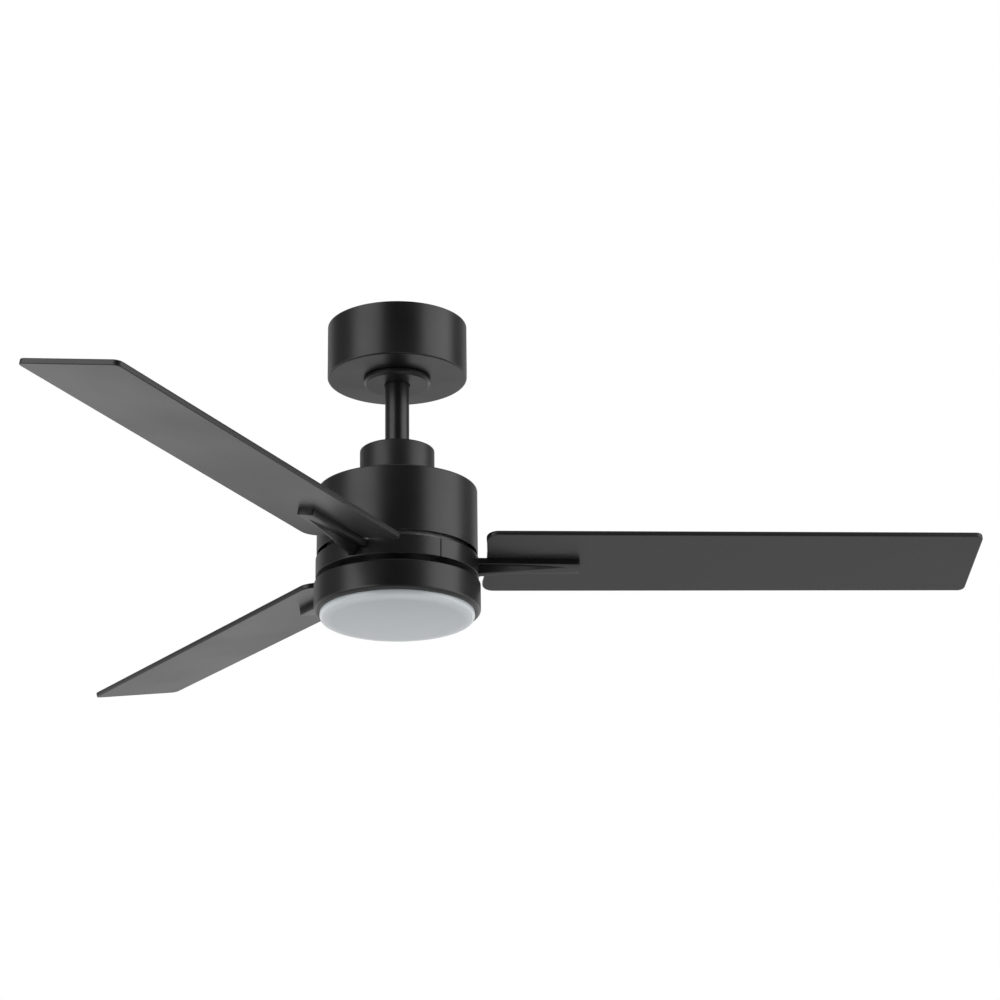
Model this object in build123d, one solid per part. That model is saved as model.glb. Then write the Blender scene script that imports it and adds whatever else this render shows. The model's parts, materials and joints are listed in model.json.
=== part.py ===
from build123d import *
import os
from math import cos, degrees, radians, sin

# A three-bladed ceiling fan with a round light under its motor.
# Millimetres, +Z up. The origin is the middle of the ceiling plane, on the fan's axis, and
# blade 1 points along +X. Everything hangs below the origin, so heights are negative.

# ---------------------------------------------------------------- clearances
FIT_GAP = 0.1        # radial gap of a piece held in another piece of the same body
RUN_GAP = 0.3        # gap between faces of two bodies that slide past each other
BALL_GAP = 0.05      # running gap between a bearing's balls and its inner race
SCREW_GAP = 0.05     # gap between a screw's shank and its hole

# ---------------------------------------------------------------- sizes seen from outside
canopy_radius = 80.7
canopy_height = 64.2
canopy_wall = 1.2
canopy_ceiling_gap = 0.5
canopy_edge = 1.9

trim_radius = 38.6
trim_height = 7.0
trim_wall = 1.5
trim_neck_height = 0.8       # the groove under the canopy's floor
trim_neck_step = 2.4
trim_chamfer = 2.6
trim_rod_gap = 1.0

rod_radius = 13.9
rod_wall = 2.5
rod_shown = 81.6             # from the trim ring to the coupling cover

cup_radius = 42.8
cup_height = 49.2
cup_wall = 1.2
cup_edge = 1.6
cup_rod_gap = 0.5

housing_radius = 91.5
housing_height = 77.2
housing_wall = 1.4
housing_edge = 2.0

band_step = 1.0              # the turning band stands this far outside the housing
band_height = 21.7
band_wall = 2.0
band_top_gap = 6.0           # air between the housing and the band
band_bottom_gap = 7.7        # air between the band and the light
seam_gap = 1.4
seam_tongue = 1.5            # thickness of the tongue behind each seam
seam_overlap = 4.0           # the tongue reaches this far past the seam

pan_step = 2.9               # the light's pan stands this far outside the housing
pan_height = 33.7
pan_wall = 2.0
pan_top_edge = 1.2
pan_bottom_edge = 4.6

lip_width = 6.65             # the pan's flat lip, from its side to the lens
lens_drop = 10.2             # how far the lens hangs below the pan
lens_wall = 2.2
lens_edge = 5.0
lens_dome = 3.2              # how far the middle is below the end of the rounded edge

blade_tip = 657.0            # radius of the blade's square end
blade_root_gap = 5.1         # from the band to the blade's inner corners
blade_root_hollow = 4.0      # depth of the shallow curve in the blade's inner end
blade_root_half = 62.9
blade_tip_half = 60.5
blade_thickness = 6.0
blade_root_corner = 13.0
blade_tip_corner = 8.0
blade_edge = 1.2
blade_pitch = 12.0
blade_rise = 0.43            # degrees, outwards
blade_below_band_top = 2.6   # the blade's underside, on the band's face
blade_count = 3

iron_length = 114.0          # from the band's face to the end of the iron
iron_root_half = 12.5
iron_end_half = 10.5
iron_thickness = 7.5
iron_edge = 1.0
rib_length = 98.0            # the rib tapers to nothing this far from the band's face
rib_depth = 10.0             # below the iron, at the band's face
rib_low_side = -10.0
rib_high_side = 3.0
rib_point = -4.0
rib_draft = 2.6
notch_gap = 0.9

# ---------------------------------------------------------------- sizes inside
sheet = 2.5                  # steel of the hanger bracket
bracket_length = 116.0
bracket_ball_gap = 2.0       # from the ball to the bracket's edge, seen from above
slot_spacing = 88.9          # the standard outlet-box spacing, 3 1/2 inches
slot_length = 12.0
slot_width = 5.0
wire_hole_length = 30.0
wire_hole_width = 24.0
leg_ball_gap = 5.5
leg_half_width = 11.0
foot_half_width = 9.0
tab_half_width = 25.0
tab_drop = 28.0

ball_wall = 12.1             # from the rod to the ball's widest point
ball_above_floor = 31.7      # the ball's centre over the canopy's underside
ball_top_cut = 12.0
ball_bottom_cut = 20.0
seat_high = 8.0              # the seat's upper and lower rims, below the ball's centre
seat_low = 19.0
key_half_width = 2.0
key_depth = 4.0
key_side_gap = 0.6
ball_pin_radius = 3.0
ball_pin_height = 8.0        # above the ball's centre
ball_pin_reach = 4.1         # how far the pin stands out of the rod
rod_above_ball = 2.0

lead_radius = 1.2
lead_x = 2.2
lead_y = 5.4

yoke_wall = 7.1
yoke_cup_gap = 3.6
yoke_flange = 5.5
yoke_below_cup = 5.2
yoke_web = 19.5              # length of the shaft's socket in the yoke
yoke_pin_radius = 3.0
yoke_pin_above_web = 11.0
set_screw_radius = 2.5

shaft_radius = 10.0
shaft_wall = 2.5
shaft_shoulder = 2.0
shaft_thread_step = 1.0
bearing_section = 11.0       # the common 20 x 42 x 12 ball bearing
bearing_width = 12.0
bearing_ball_radius = 3.2
bearing_ball_count = 9
race_wall = 3.2
boss_wall = 5.0

rotor_top_gap = 9.2          # air between the housing's top plate and the rotor
rotor_side_gap = 4.2
rotor_below_housing = 1.2
rotor_flange = 6.0
rotor_wall = 3.0
rotor_end = 4.0
back_iron_wall = 4.5
magnet_wall = 4.0
magnet_count = 16
magnet_slit = 1.5
air_gap = 1.0
stator_margin = 4.2          # from each bearing to the core's end
stator_hub_wall = 12.0
tooth_count = 12
tooth_width = 9.0
tooth_shoe = 5.5
coil_thickness = 2.4
coil_overhang = 4.4
coil_end_gap = 1.0

hub_band_gap = 14.5          # from the hub's rim to the band
hub_thickness = 7.0
hub_hole = 24.0
iron_plate = 6.0
iron_plate_half = 15.0
iron_plate_margin = 5.0      # from the hub's hole to the iron's plate
iron_plate_band_gap = 2.6
band_floor_margin = 14.0     # from the hub's hole to the band's floor
post_radius = 4.5
post_angle = 38.0
hub_edge_to_screws = 10.0

mount_plate_radius = 52.0
mount_plate = 3.0
shaft_nut_wall = 6.0         # to the nut's corners
shaft_nut_height = 5.5
shaft_end = 1.0
pan_nut_gap = 2.0
pan_screw_circle = 40.0

board_margin = 4.8           # from the lock ring's hole to the board
board_thickness = 1.6
board_below_pan_top = 18.9
standoff_radius = 3.5
standoff_margin = 14.0       # from the board's edge
driver_length = 70.0
driver_width = 44.0
driver_height = 11.0
led_side = 3.2
led_height = 0.8
led_margin = 6.0
led_ring_step = 17.2
led_ring_count = 4
leds_more_per_ring = 6

lock_ring_thickness = 1.5
lens_shoulder = 2.95         # the lens's flat shoulder under the lock ring
lens_tab_reach = 3.1
lens_tab_thickness = 2.0
lens_tab_angle = 14.0
lens_turn = 22.0             # degrees from locked to free
lens_tab_count = 3

# ---------------------------------------------------------------- heights that follow
canopy_top = -canopy_ceiling_gap
canopy_bottom = canopy_top - canopy_height
canopy_floor = canopy_bottom + canopy_wall
trim_bottom = canopy_bottom - trim_height
cup_top = trim_bottom - rod_shown
housing_top = cup_top - cup_height
housing_bottom = housing_top - housing_height
band_top = housing_bottom - band_top_gap
band_bottom = band_top - band_height
pan_top = band_bottom - band_bottom_gap
pan_bottom = pan_top - pan_height
lens_bottom = pan_bottom - lens_drop

ball_centre = canopy_bottom + ball_above_floor
ball_top = ball_centre + ball_top_cut
ball_pin_z = ball_centre + ball_pin_height
rod_top = ball_top + rod_above_ball

yoke_top = cup_top - yoke_below_cup
yoke_flange_top = housing_top + yoke_flange
rod_bottom = housing_top + yoke_web
yoke_pin_z = rod_bottom + yoke_pin_above_web
shaft_top = rod_bottom - 1.0

rotor_top = housing_top - housing_wall - rotor_top_gap
rotor_bottom = housing_bottom - rotor_below_housing
rotor_joint = (rotor_top + rotor_bottom) / 2
upper_bearing_top = rotor_top - rotor_end - 1.0
lower_bearing_bottom = rotor_bottom + rotor_end + 1.0
shoulder_top = upper_bearing_top - bearing_width
shoulder_bottom = lower_bearing_bottom + bearing_width
core_top = shoulder_top - stator_margin
core_bottom = shoulder_bottom + stator_margin

hub_bottom = rotor_bottom - hub_thickness
mount_plate_bottom = pan_top
mount_plate_top = mount_plate_bottom + mount_plate
board_top = pan_top - board_below_pan_top
board_bottom = board_top - board_thickness

# ---------------------------------------------------------------- radii that follow
ball_radius = rod_radius + ball_wall
ball_pin_half_length = rod_radius + ball_pin_reach
canopy_inner = canopy_radius - canopy_wall
canopy_rod_hole = rod_radius + 5.0
foot_inner = rod_radius + 6.0
bracket_width = 2 * (ball_radius + bracket_ball_gap)
leg_inner = ball_radius + leg_ball_gap
leg_outer = leg_inner + sheet
canopy_screw_x = (foot_inner + leg_outer) / 2
trim_inner = trim_radius - trim_neck_step - trim_wall
hook_radius = trim_inner - 5.3
rod_inner = rod_radius - rod_wall
yoke_radius = rod_radius + yoke_wall
yoke_flange_radius = cup_radius - cup_wall - yoke_cup_gap
housing_inner = housing_radius - housing_wall
band_radius = housing_radius + band_step
band_inner = band_radius - band_wall
pan_radius = housing_radius + pan_step
pan_inner = pan_radius - pan_wall
lens_radius = pan_radius - lip_width
lock_ring_hole = lens_radius - lens_shoulder
board_radius = lock_ring_hole - board_margin
standoff_circle = board_radius - standoff_margin
flange_radius = housing_inner - rotor_side_gap
rotor_radius = flange_radius - rotor_flange
rotor_inner = rotor_radius - rotor_wall
magnet_outer = rotor_inner - back_iron_wall
magnet_inner = magnet_outer - magnet_wall
stator_radius = magnet_inner - air_gap
shoulder_radius = shaft_radius + shaft_shoulder
thread_radius = shaft_radius - shaft_thread_step
shaft_bore = shaft_radius - shaft_wall
shaft_nut_radius = thread_radius + shaft_nut_wall
pan_hole = shaft_nut_radius + pan_nut_gap
bearing_radius = shaft_radius + bearing_section
boss_radius = bearing_radius + boss_wall
race_inner = shaft_radius + race_wall
race_outer = bearing_radius - race_wall
ball_circle = (race_inner + race_outer) / 2
blade_root = band_radius + blade_root_gap
hub_radius = band_inner - hub_band_gap
iron_plate_inner = hub_hole + iron_plate_margin
band_flange_hole = hub_hole + band_floor_margin
post_circle = hub_radius - hub_edge_to_screws
lens_neck = lock_ring_hole - 0.5
lock_ring_bottom = pan_bottom + 5.8
lock_ring_top = lock_ring_bottom + lock_ring_thickness


# ---------------------------------------------------------------- shape helpers
def disc(radius, low, high, x=0.0, y=0.0):
    """An upright cylinder between two heights."""
    return Pos(x, y, (low + high) / 2) * Cylinder(radius, high - low)


def tube(outer, inner, low, high):
    """An upright pipe; its bore is cut a little past both ends."""
    return disc(outer, low, high) - disc(inner, low - 1, high + 1)


def block(x0, x1, y0, y1, z0, z1):
    """A box between two corners."""
    return Pos((x0 + x1) / 2, (y0 + y1) / 2, (z0 + z1) / 2) * Box(x1 - x0, y1 - y0, z1 - z0)


def turned(points):
    """A solid turned about Z from a closed outline of (radius, height) points."""
    outline = Polyline([(r, 0, z) for r, z in points], close=True)
    return revolve(make_face(outline), Axis.Z)


def around(shape, count, start=0.0):
    """Copies of a shape, evenly spaced about Z."""
    return [Rot(0, 0, start + 360 * i / count) * shape for i in range(count)]


def cut_all(shape, tools):
    """The shape with every tool taken away."""
    for tool in tools:
        shape = shape - tool
    return shape


def add_all(shape, more):
    """The shape with every other one joined on."""
    for other in more:
        shape = shape + other
    return shape


def sector(half_angle, shift=0.0):
    """A tall wedge about +X that keeps what lies within half_angle of it."""
    reach = 4 * housing_radius
    side = (reach * cos(radians(half_angle)), reach * sin(radians(half_angle)))
    outline = Polyline([(0, 0), (side[0], -side[1]), (2 * reach, 0), side], close=True)
    wedge = Pos(0, 0, lens_bottom - 50) * extrude(make_face(outline), -lens_bottom + 100, dir=(0, 0, 1))
    return Pos(shift, 0, 0) * wedge


def pan_head_screw(radius, length, head_radius, head_height):
    """A cross-recess screw: the head above z = 0, the shank below it."""
    head = disc(head_radius, 0, head_height)
    head = fillet(head.edges().group_by(Axis.Z)[-1], head_height * 0.4)
    arm = head_radius * 0.6
    half = head_radius * 0.13
    depth = head_height * 0.55
    recess = block(-arm, arm, -half, half, head_height - depth, head_height + 1)
    recess += block(-half, half, -arm, arm, head_height - depth, head_height + 1)
    return head + disc(radius, -length, 0) - recess


def socket_set_screw(radius, length):
    """A headless screw with a hexagon socket, its open end at z = 0 and its point below."""
    body = disc(radius, -length, 0)
    body = chamfer(body.edges().group_by(Axis.Z)[0], radius * 0.3)
    socket = extrude(RegularPolygon(radius * 0.55, 6), -radius, dir=(0, 0, 1))
    return body - socket


def hex_nut(radius, bore, low, high):
    """A hexagon nut about Z; radius is to its corners."""
    body = Pos(0, 0, low) * extrude(RegularPolygon(radius, 6), high - low)
    return body - disc(bore, low - 1, high + 1)


def rounded_profile(outer_radius, low, high, top_edge, bottom_edge):
    """A solid disc whose upper and lower outside edges are rounded."""
    body = disc(outer_radius, low, high)
    if bottom_edge > 0:
        body = fillet(body.edges().group_by(Axis.Z)[0], bottom_edge)
    if top_edge > 0:
        body = fillet(body.edges().group_by(Axis.Z)[-1], top_edge)
    return body


# ---------------------------------------------------------------- what is fixed to the ceiling
RING_SCREWS = dict(radius=2.0, length=8.0, head_radius=3.8, head_height=2.6)


def hanger_bracket():
    """Ceiling plate, two legs with feet, and the cradle that the ball sits in."""
    plate = block(-bracket_length / 2, bracket_length / 2, -bracket_width / 2, bracket_width / 2, -sheet, 0)
    plate = fillet(plate.edges().filter_by(Axis.Z), 6)
    slot = Pos(0, 0, -sheet - 1) * extrude(SlotOverall(slot_length, slot_width), sheet + 2)
    plate = cut_all(plate, [Pos(side * slot_spacing / 2, 0, 0) * slot for side in (-1, 1)])
    half_l = wire_hole_length / 2
    half_w = wire_hole_width / 2
    wire_hole = block(-half_l, half_l, -half_w, half_w, -sheet - 1, 1)
    plate -= fillet(wire_hole.edges().filter_by(Axis.Z), 4)

    legs = block(leg_inner, leg_outer, -leg_half_width, leg_half_width, canopy_floor, -sheet)
    foot_top = canopy_floor + sheet
    feet = block(foot_inner, leg_outer, -foot_half_width, foot_half_width, canopy_floor, foot_top)
    feet -= disc(RING_SCREWS["radius"] + SCREW_GAP, canopy_floor - 1, foot_top + 1, canopy_screw_x)
    side = legs + feet
    both = side + mirror(side, Plane.YZ)
    ground_hole = Rot(0, 90, 0) * Cylinder(GROUND_SCREW["radius"] + SCREW_GAP, 4 * sheet)
    both -= Pos(-leg_outer, 0, ground_screw_z) * ground_hole

    high = ball_centre - seat_high
    low = ball_centre - seat_low
    seat_radius = ball_radius + RUN_GAP
    bowl = Pos(0, 0, ball_centre) * Sphere(seat_radius + sheet)
    bowl = bowl & block(-leg_inner, leg_inner, -leg_inner, leg_inner, low, high)
    shelf = block(-leg_inner, leg_inner, -ball_radius + 2, ball_radius - 2, high - sheet, high)
    cradle = bowl + shelf - Pos(0, 0, ball_centre) * Sphere(seat_radius)
    mouth = rod_radius + 2.5
    cradle -= block(-mouth, mouth, 0, 2 * ball_radius, low - 1, high + 1)
    key = block(-key_half_width, key_half_width, -seat_radius - 0.5, -seat_radius + key_depth,
                low + 1, high - 1)

    tab = block(-tab_half_width, tab_half_width, -bracket_width / 2 - sheet, -bracket_width / 2, -tab_drop, 0)
    hole = Rot(90, 0, 0) * Cylinder(RECEIVER_SCREW["radius"] + SCREW_GAP, sheet * 2)
    tab_middle = -bracket_width / 2 - sheet / 2
    for x in (-receiver_screw_x, receiver_screw_x):
        tab -= Pos(x, tab_middle, receiver_screw_z) * hole
    return plate + both + cradle + key + tab


GROUND_SCREW = dict(radius=2.0, length=6.0, head_radius=3.6, head_height=2.2)
ground_screw_z = -12.0
RECEIVER_SCREW = dict(radius=1.5, length=8.0, head_radius=2.8, head_height=1.8)
receiver_screw_x = 15.0
receiver_screw_z = -15.0
receiver_size = (76.0, 25.0, 23.0)


def ground_screw():
    """The green earth screw, driven into one leg from outside."""
    return Pos(-leg_outer, 0, ground_screw_z) * Rot(0, -90, 0) * pan_head_screw(**GROUND_SCREW)


def receiver_module():
    """The remote receiver's closed box, screwed to the bracket's side tab."""
    length, width, height = receiver_size
    back = -bracket_width / 2 - sheet
    box = block(-length / 2, length / 2, back - width, back, -5 - height, -5)
    box = fillet(box.edges().filter_by(Axis.Y), 2)
    groove = block(-length / 2 - 1, length / 2 + 1, back - width - 1, back - width + 0.6, -11, -10)
    box -= groove
    hole = Rot(90, 0, 0) * Cylinder(RECEIVER_SCREW["radius"] + SCREW_GAP, 2 * RECEIVER_SCREW["length"])
    for x in (-receiver_screw_x, receiver_screw_x):
        box -= Pos(x, back, receiver_screw_z) * hole
    return box


def receiver_screws():
    """Two small screws through the tab into the receiver."""
    screw = Rot(-90, 0, 0) * pan_head_screw(**RECEIVER_SCREW)
    places = [(x, -bracket_width / 2, receiver_screw_z) for x in (-receiver_screw_x, receiver_screw_x)]
    return [Pos(*place) * screw for place in places]


def canopy():
    """The round cover on the ceiling: open above, with a floor that the rod passes through."""
    outside = rounded_profile(canopy_radius, canopy_bottom, canopy_top, 0, canopy_edge)
    inside = rounded_profile(canopy_inner, canopy_floor, canopy_top + 5, 0, canopy_edge - canopy_wall * 0.9)
    shell = outside - inside - disc(canopy_rod_hole, canopy_bottom - 1, canopy_floor + 1)
    for x in (-canopy_screw_x, canopy_screw_x):
        shell -= disc(RING_SCREWS["radius"] + RUN_GAP, canopy_bottom - 1, canopy_floor + 1, x)
    hook_slot = block(hook_radius - 1 - RUN_GAP, hook_radius + 2.2 + RUN_GAP, -4 - RUN_GAP, 4 + RUN_GAP,
                      canopy_bottom - 1, canopy_floor + 1)
    return cut_all(shell, around(hook_slot, 3, 90))


def canopy_screws():
    """Two screws up through the canopy's floor into the bracket's feet."""
    screw = Rot(180, 0, 0) * pan_head_screw(**RING_SCREWS)
    return [Pos(x * canopy_screw_x, 0, canopy_bottom) * screw for x in (-1, 1)]


def canopy_trim_ring():
    """The snap-on ring that hides the canopy's screws."""
    neck = trim_radius - trim_neck_step
    neck_low = canopy_bottom - trim_neck_height
    floor = trim_bottom + trim_wall
    outside = turned([(0, canopy_bottom), (neck, canopy_bottom), (neck, neck_low), (trim_radius, neck_low),
                      (trim_radius, trim_bottom + trim_chamfer), (trim_radius - trim_chamfer, trim_bottom),
                      (0, trim_bottom)])
    inside = turned([(0, canopy_bottom + 1), (trim_inner, canopy_bottom + 1),
                     (trim_inner, floor + trim_chamfer), (trim_inner - trim_chamfer, floor), (0, floor)])
    ring = outside - inside
    post = block(hook_radius - 1, hook_radius + 1, -4, 4, floor - 0.5, canopy_floor + 1.8)
    barb = block(hook_radius - 1, hook_radius + 2, -4, 4, canopy_floor + FIT_GAP, canopy_floor + 1.8)
    ring = add_all(ring, around(post + barb, 3, 90))
    return ring - disc(rod_radius + trim_rod_gap, trim_bottom - 1, canopy_bottom + 1)


# ---------------------------------------------------------------- what hangs on the ball
BALL_SCREW_Z = ball_centre
ROD_SCREW_Z = yoke_top - 6.5
SHAFT_SCREW_Z = housing_top + 11.5
FLANGE_SCREW = dict(radius=2.5, length=12.0, head_radius=4.6, head_height=3.2)
flange_screw_circle = yoke_flange_radius - 8.0
flange_nut_radius = 4.6
flange_nut_height = 4.0


def hanger_ball():
    """The ball on the rod's upper end, with its key groove and the groove for the cross pin."""
    ball = Pos(0, 0, ball_centre) * Sphere(ball_radius)
    reach = ball_radius + 1
    ball = ball & block(-reach, reach, -reach, reach, ball_centre - ball_bottom_cut, ball_top)
    ball -= disc(rod_radius + FIT_GAP, ball_centre - reach, ball_top + 1)
    half = key_half_width + key_side_gap
    bed = -ball_radius + key_depth + key_side_gap
    ball -= block(-half, half, -reach, bed, ball_centre - reach, ball_top + 1)
    pin_half = ball_pin_half_length + FIT_GAP
    pin_r = ball_pin_radius + FIT_GAP
    ball -= block(-pin_half, pin_half, -pin_r, pin_r, ball_pin_z, ball_top + 1)
    ball -= Pos(0, 0, ball_pin_z) * Rot(0, 90, 0) * Cylinder(pin_r, 2 * pin_half)
    screw_hole = Rot(90, 0, 0) * Cylinder(set_screw_radius + SCREW_GAP, 2 * reach - 2)
    return ball - Pos(0, reach, BALL_SCREW_Z) * screw_hole


def ball_pin():
    """The cross pin that carries the rod on the ball."""
    pin = Cylinder(ball_pin_radius, 2 * ball_pin_half_length)
    return Pos(0, 0, ball_pin_z) * Rot(0, 90, 0) * chamfer(pin.edges(), 0.5)


def set_screws():
    """Three set screws: ball to rod, yoke to rod, and yoke to shaft."""
    ball_length = ball_radius - rod_radius - FIT_GAP - 1.5
    rod_length = yoke_radius - rod_radius - 2 * FIT_GAP
    shaft_length = yoke_radius - shaft_radius - 2 * FIT_GAP
    outward = Rot(-90, 0, 0)
    ball_one = Pos(0, rod_radius + FIT_GAP + ball_length, BALL_SCREW_Z) * outward
    rod_one = Pos(0, rod_radius + FIT_GAP + rod_length, ROD_SCREW_Z) * outward
    shaft_one = Pos(0, shaft_radius + FIT_GAP + shaft_length, SHAFT_SCREW_Z) * outward
    return [ball_one * socket_set_screw(set_screw_radius, ball_length),
            rod_one * socket_set_screw(set_screw_radius, rod_length),
            shaft_one * socket_set_screw(set_screw_radius, shaft_length)]


def downrod():
    """The steel pipe, drilled across for both pins."""
    rod = tube(rod_radius, rod_inner, rod_bottom, rod_top)
    across = Rot(0, 90, 0)
    rod -= Pos(0, 0, ball_pin_z) * across * Cylinder(ball_pin_radius + FIT_GAP, 4 * rod_radius)
    rod -= Pos(0, 0, yoke_pin_z) * across * Cylinder(yoke_pin_radius + FIT_GAP, 4 * rod_radius)
    return rod


def lead_places():
    """Where the four leads run, seen from above."""
    return [(x * lead_x, y * lead_y) for x in (-1, 1) for y in (-1, 1)]


def rod_grommet():
    """The rubber bush in the rod's mouth; the leads pass through it."""
    body = disc(rod_inner - SCREW_GAP, rod_top - 2.4, rod_top) + disc(rod_radius, rod_top, rod_top + 2)
    body = fillet(body.edges().group_by(Axis.Z)[-1], 0.8)
    holes = [disc(lead_radius + SCREW_GAP, rod_top - 5, rod_top + 5, x, y) for x, y in lead_places()]
    return cut_all(body, holes)


def motor_leads():
    """Two leads go down to the light; the other two turn out of the shaft to the windings."""
    top = rod_top + 2
    tail_z = core_top + lead_radius + 0.8
    leads = []
    for x, y in lead_places():
        if y > 0:
            leads.append(disc(lead_radius, board_top + driver_height, top, x, y))
            continue
        tail_length = coil_inner - abs(y)
        tail = Pos(x, y - tail_length / 2, tail_z) * Rot(90, 0, 0) * Cylinder(lead_radius, tail_length)
        corner = Pos(x, y, tail_z) * Sphere(lead_radius)
        leads.append(disc(lead_radius, tail_z, top, x, y) + corner + tail)
    return leads


def lead_plug():
    """The plug on the leads' upper end, above the grommet."""
    low = rod_top + 2
    plug = block(-6, 6, -8, 8, low, low + 7)
    plug = fillet(plug.edges().filter_by(Axis.Z), 1)
    rib = block(-2, 2, 8, 9.2, low + 1, low + 7)
    return plug + rib


def motor_yoke():
    """The cast coupling: a collar for the rod above, a socket for the shaft, and a flange."""
    body = disc(yoke_radius, yoke_flange_top, yoke_top)
    body += disc(yoke_flange_radius, housing_top, yoke_flange_top)
    body -= disc(rod_radius + FIT_GAP, rod_bottom, yoke_top + 1)
    body -= disc(shaft_radius + FIT_GAP, housing_top - 1, rod_bottom + 1)
    body -= Pos(0, 0, yoke_pin_z) * Rot(0, 90, 0) * Cylinder(yoke_pin_radius + FIT_GAP, 4 * yoke_radius)
    screw_hole = Rot(90, 0, 0) * Cylinder(set_screw_radius + SCREW_GAP, 2 * yoke_radius)
    for z in (ROD_SCREW_Z, SHAFT_SCREW_Z):
        body -= Pos(0, yoke_radius, z) * screw_hole
    hole = disc(FLANGE_SCREW["radius"] + SCREW_GAP, housing_top - 1, yoke_flange_top + 1, flange_screw_circle)
    return cut_all(body, around(hole, 4, 45))


def yoke_pin():
    """The clevis pin that carries the motor on the rod."""
    length = 2 * yoke_radius + 8
    pin = disc(yoke_pin_radius, 0, length)
    pin = chamfer(pin.edges().group_by(Axis.Z)[-1], 0.6)
    head = disc(yoke_pin_radius + 1.6, -2, 0)
    hole = Pos(0, 0, length - 3) * Rot(0, 90, 0) * Cylinder(CLIP_RADIUS + SCREW_GAP, 20)
    return Pos(-yoke_radius - 1, 0, yoke_pin_z) * Rot(0, 90, 0) * (pin + head - hole)


CLIP_RADIUS = 0.8


def pin_clip():
    """The hairpin clip through the clevis pin's end."""
    x = yoke_radius + 4
    reach = yoke_pin_radius + CLIP_RADIUS + FIT_GAP
    bend = reach / 2
    leg = Pos(x, 0, yoke_pin_z) * Cylinder(CLIP_RADIUS, 18)
    back = Pos(x, reach, yoke_pin_z - 2) * Cylinder(CLIP_RADIUS, 14)
    loop = Torus(bend, CLIP_RADIUS) & block(-10, 10, -10, 0, -5, 5)
    return leg + back + Pos(x, bend, yoke_pin_z - 9) * Rot(0, 90, 0) * Rot(0, 0, -90) * loop


def flange_screws():
    """Four screws that clamp the motor's housing under the yoke's flange."""
    screw = Pos(flange_screw_circle, 0, yoke_flange_top) * pan_head_screw(**FLANGE_SCREW)
    return around(screw, 4, 45)


def flange_nuts():
    """The four nuts under the housing's top plate."""
    under = housing_top - housing_wall
    nut = hex_nut(flange_nut_radius, FLANGE_SCREW["radius"] + SCREW_GAP, under - flange_nut_height, under)
    return around(Pos(flange_screw_circle, 0, 0) * nut, 4, 45)


def coupling_cover():
    """The cup over the yoke; it stands on the motor's housing."""
    outside = rounded_profile(cup_radius, housing_top, cup_top, cup_edge, 0)
    inside = rounded_profile(cup_radius - cup_wall, housing_top - 5, cup_top - cup_wall, cup_edge / 3, 0)
    return outside - inside - disc(rod_radius + cup_rod_gap, cup_top - 5, cup_top + 1)


def motor_housing():
    """The still drum around the motor, open below."""
    outside = rounded_profile(housing_radius, housing_bottom, housing_top, housing_edge, 0)
    plate_bottom = housing_top - housing_wall
    inside = rounded_profile(housing_inner, housing_bottom - 5, plate_bottom, housing_edge / 3, 0)
    shell = outside - inside - disc(shaft_radius + 2, housing_top - 5, housing_top + 1)
    hole = disc(FLANGE_SCREW["radius"] + SCREW_GAP, housing_top - 5, housing_top + 1, flange_screw_circle)
    return cut_all(shell, around(hole, 4, 45))


def motor_shaft():
    """The hollow, still shaft: yoke above, motor in the middle, light below."""
    end = mount_plate_bottom - shaft_nut_height - shaft_end
    shaft = turned([(0, shaft_top), (shaft_radius, shaft_top), (shaft_radius, shoulder_top),
                    (shoulder_radius, shoulder_top), (shoulder_radius, shoulder_bottom),
                    (shaft_radius, shoulder_bottom), (shaft_radius, mount_plate_top),
                    (thread_radius, mount_plate_top), (thread_radius, end), (0, end)])
    shaft -= disc(shaft_bore, end - 1, shaft_top + 1)
    half = lead_x + lead_radius + 0.6
    tail_z = core_top + lead_radius + 0.8
    return shaft - block(-half, half, -shoulder_radius - 1, -shaft_bore / 2, tail_z - 1.6, tail_z + 1.6)


coil_inner = shoulder_radius + stator_hub_wall + 7.0
shoe_inner = stator_radius - tooth_shoe


def stator_core():
    """The laminated core: a hub, twelve teeth and their shoes."""
    core = tube(shoulder_radius + stator_hub_wall, shoulder_radius + SCREW_GAP, core_bottom, core_top)
    half = tooth_width / 2
    tooth = block(shoulder_radius + 3, shoe_inner + 2, -half, half, core_bottom, core_top)
    core = add_all(core, around(tooth, tooth_count))
    shoes = tube(stator_radius, shoe_inner, core_bottom, core_top)
    slit = block(shoe_inner - 3, stator_radius + 1, -1.4, 1.4, core_bottom - 1, core_top + 1)
    core += cut_all(shoes, around(slit, tooth_count, 180 / tooth_count))
    return core - disc(shoulder_radius + SCREW_GAP, core_bottom - 1, core_top + 1)


def stator_coils():
    """One copper coil on each tooth."""
    outer_half = tooth_width / 2 + coil_thickness
    inner_half = tooth_width / 2 + FIT_GAP
    outer_end = shoe_inner - coil_end_gap
    coil = block(coil_inner, outer_end, -outer_half, outer_half,
                 core_bottom - coil_overhang, core_top + coil_overhang)
    coil = fillet(coil.edges().filter_by(Axis.X), 2)
    coil -= block(coil_inner - 1, outer_end + 1, -inner_half, inner_half,
                  core_bottom - FIT_GAP, core_top + FIT_GAP)
    return around(coil, tooth_count)


def bearing_heights():
    """The middle heights of the upper and the lower bearing."""
    return (upper_bearing_top - bearing_width / 2, lower_bearing_bottom + bearing_width / 2)


def race_groove(extra):
    """The ring-shaped track that the balls run in."""
    return Torus(ball_circle, bearing_ball_radius + extra)


def bearing_inner_races():
    """The still races on the shaft."""
    half = bearing_width / 2
    race = tube(race_inner, shaft_radius + SCREW_GAP, -half, half) - race_groove(BALL_GAP)
    return [Pos(0, 0, z) * race for z in bearing_heights()]


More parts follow.
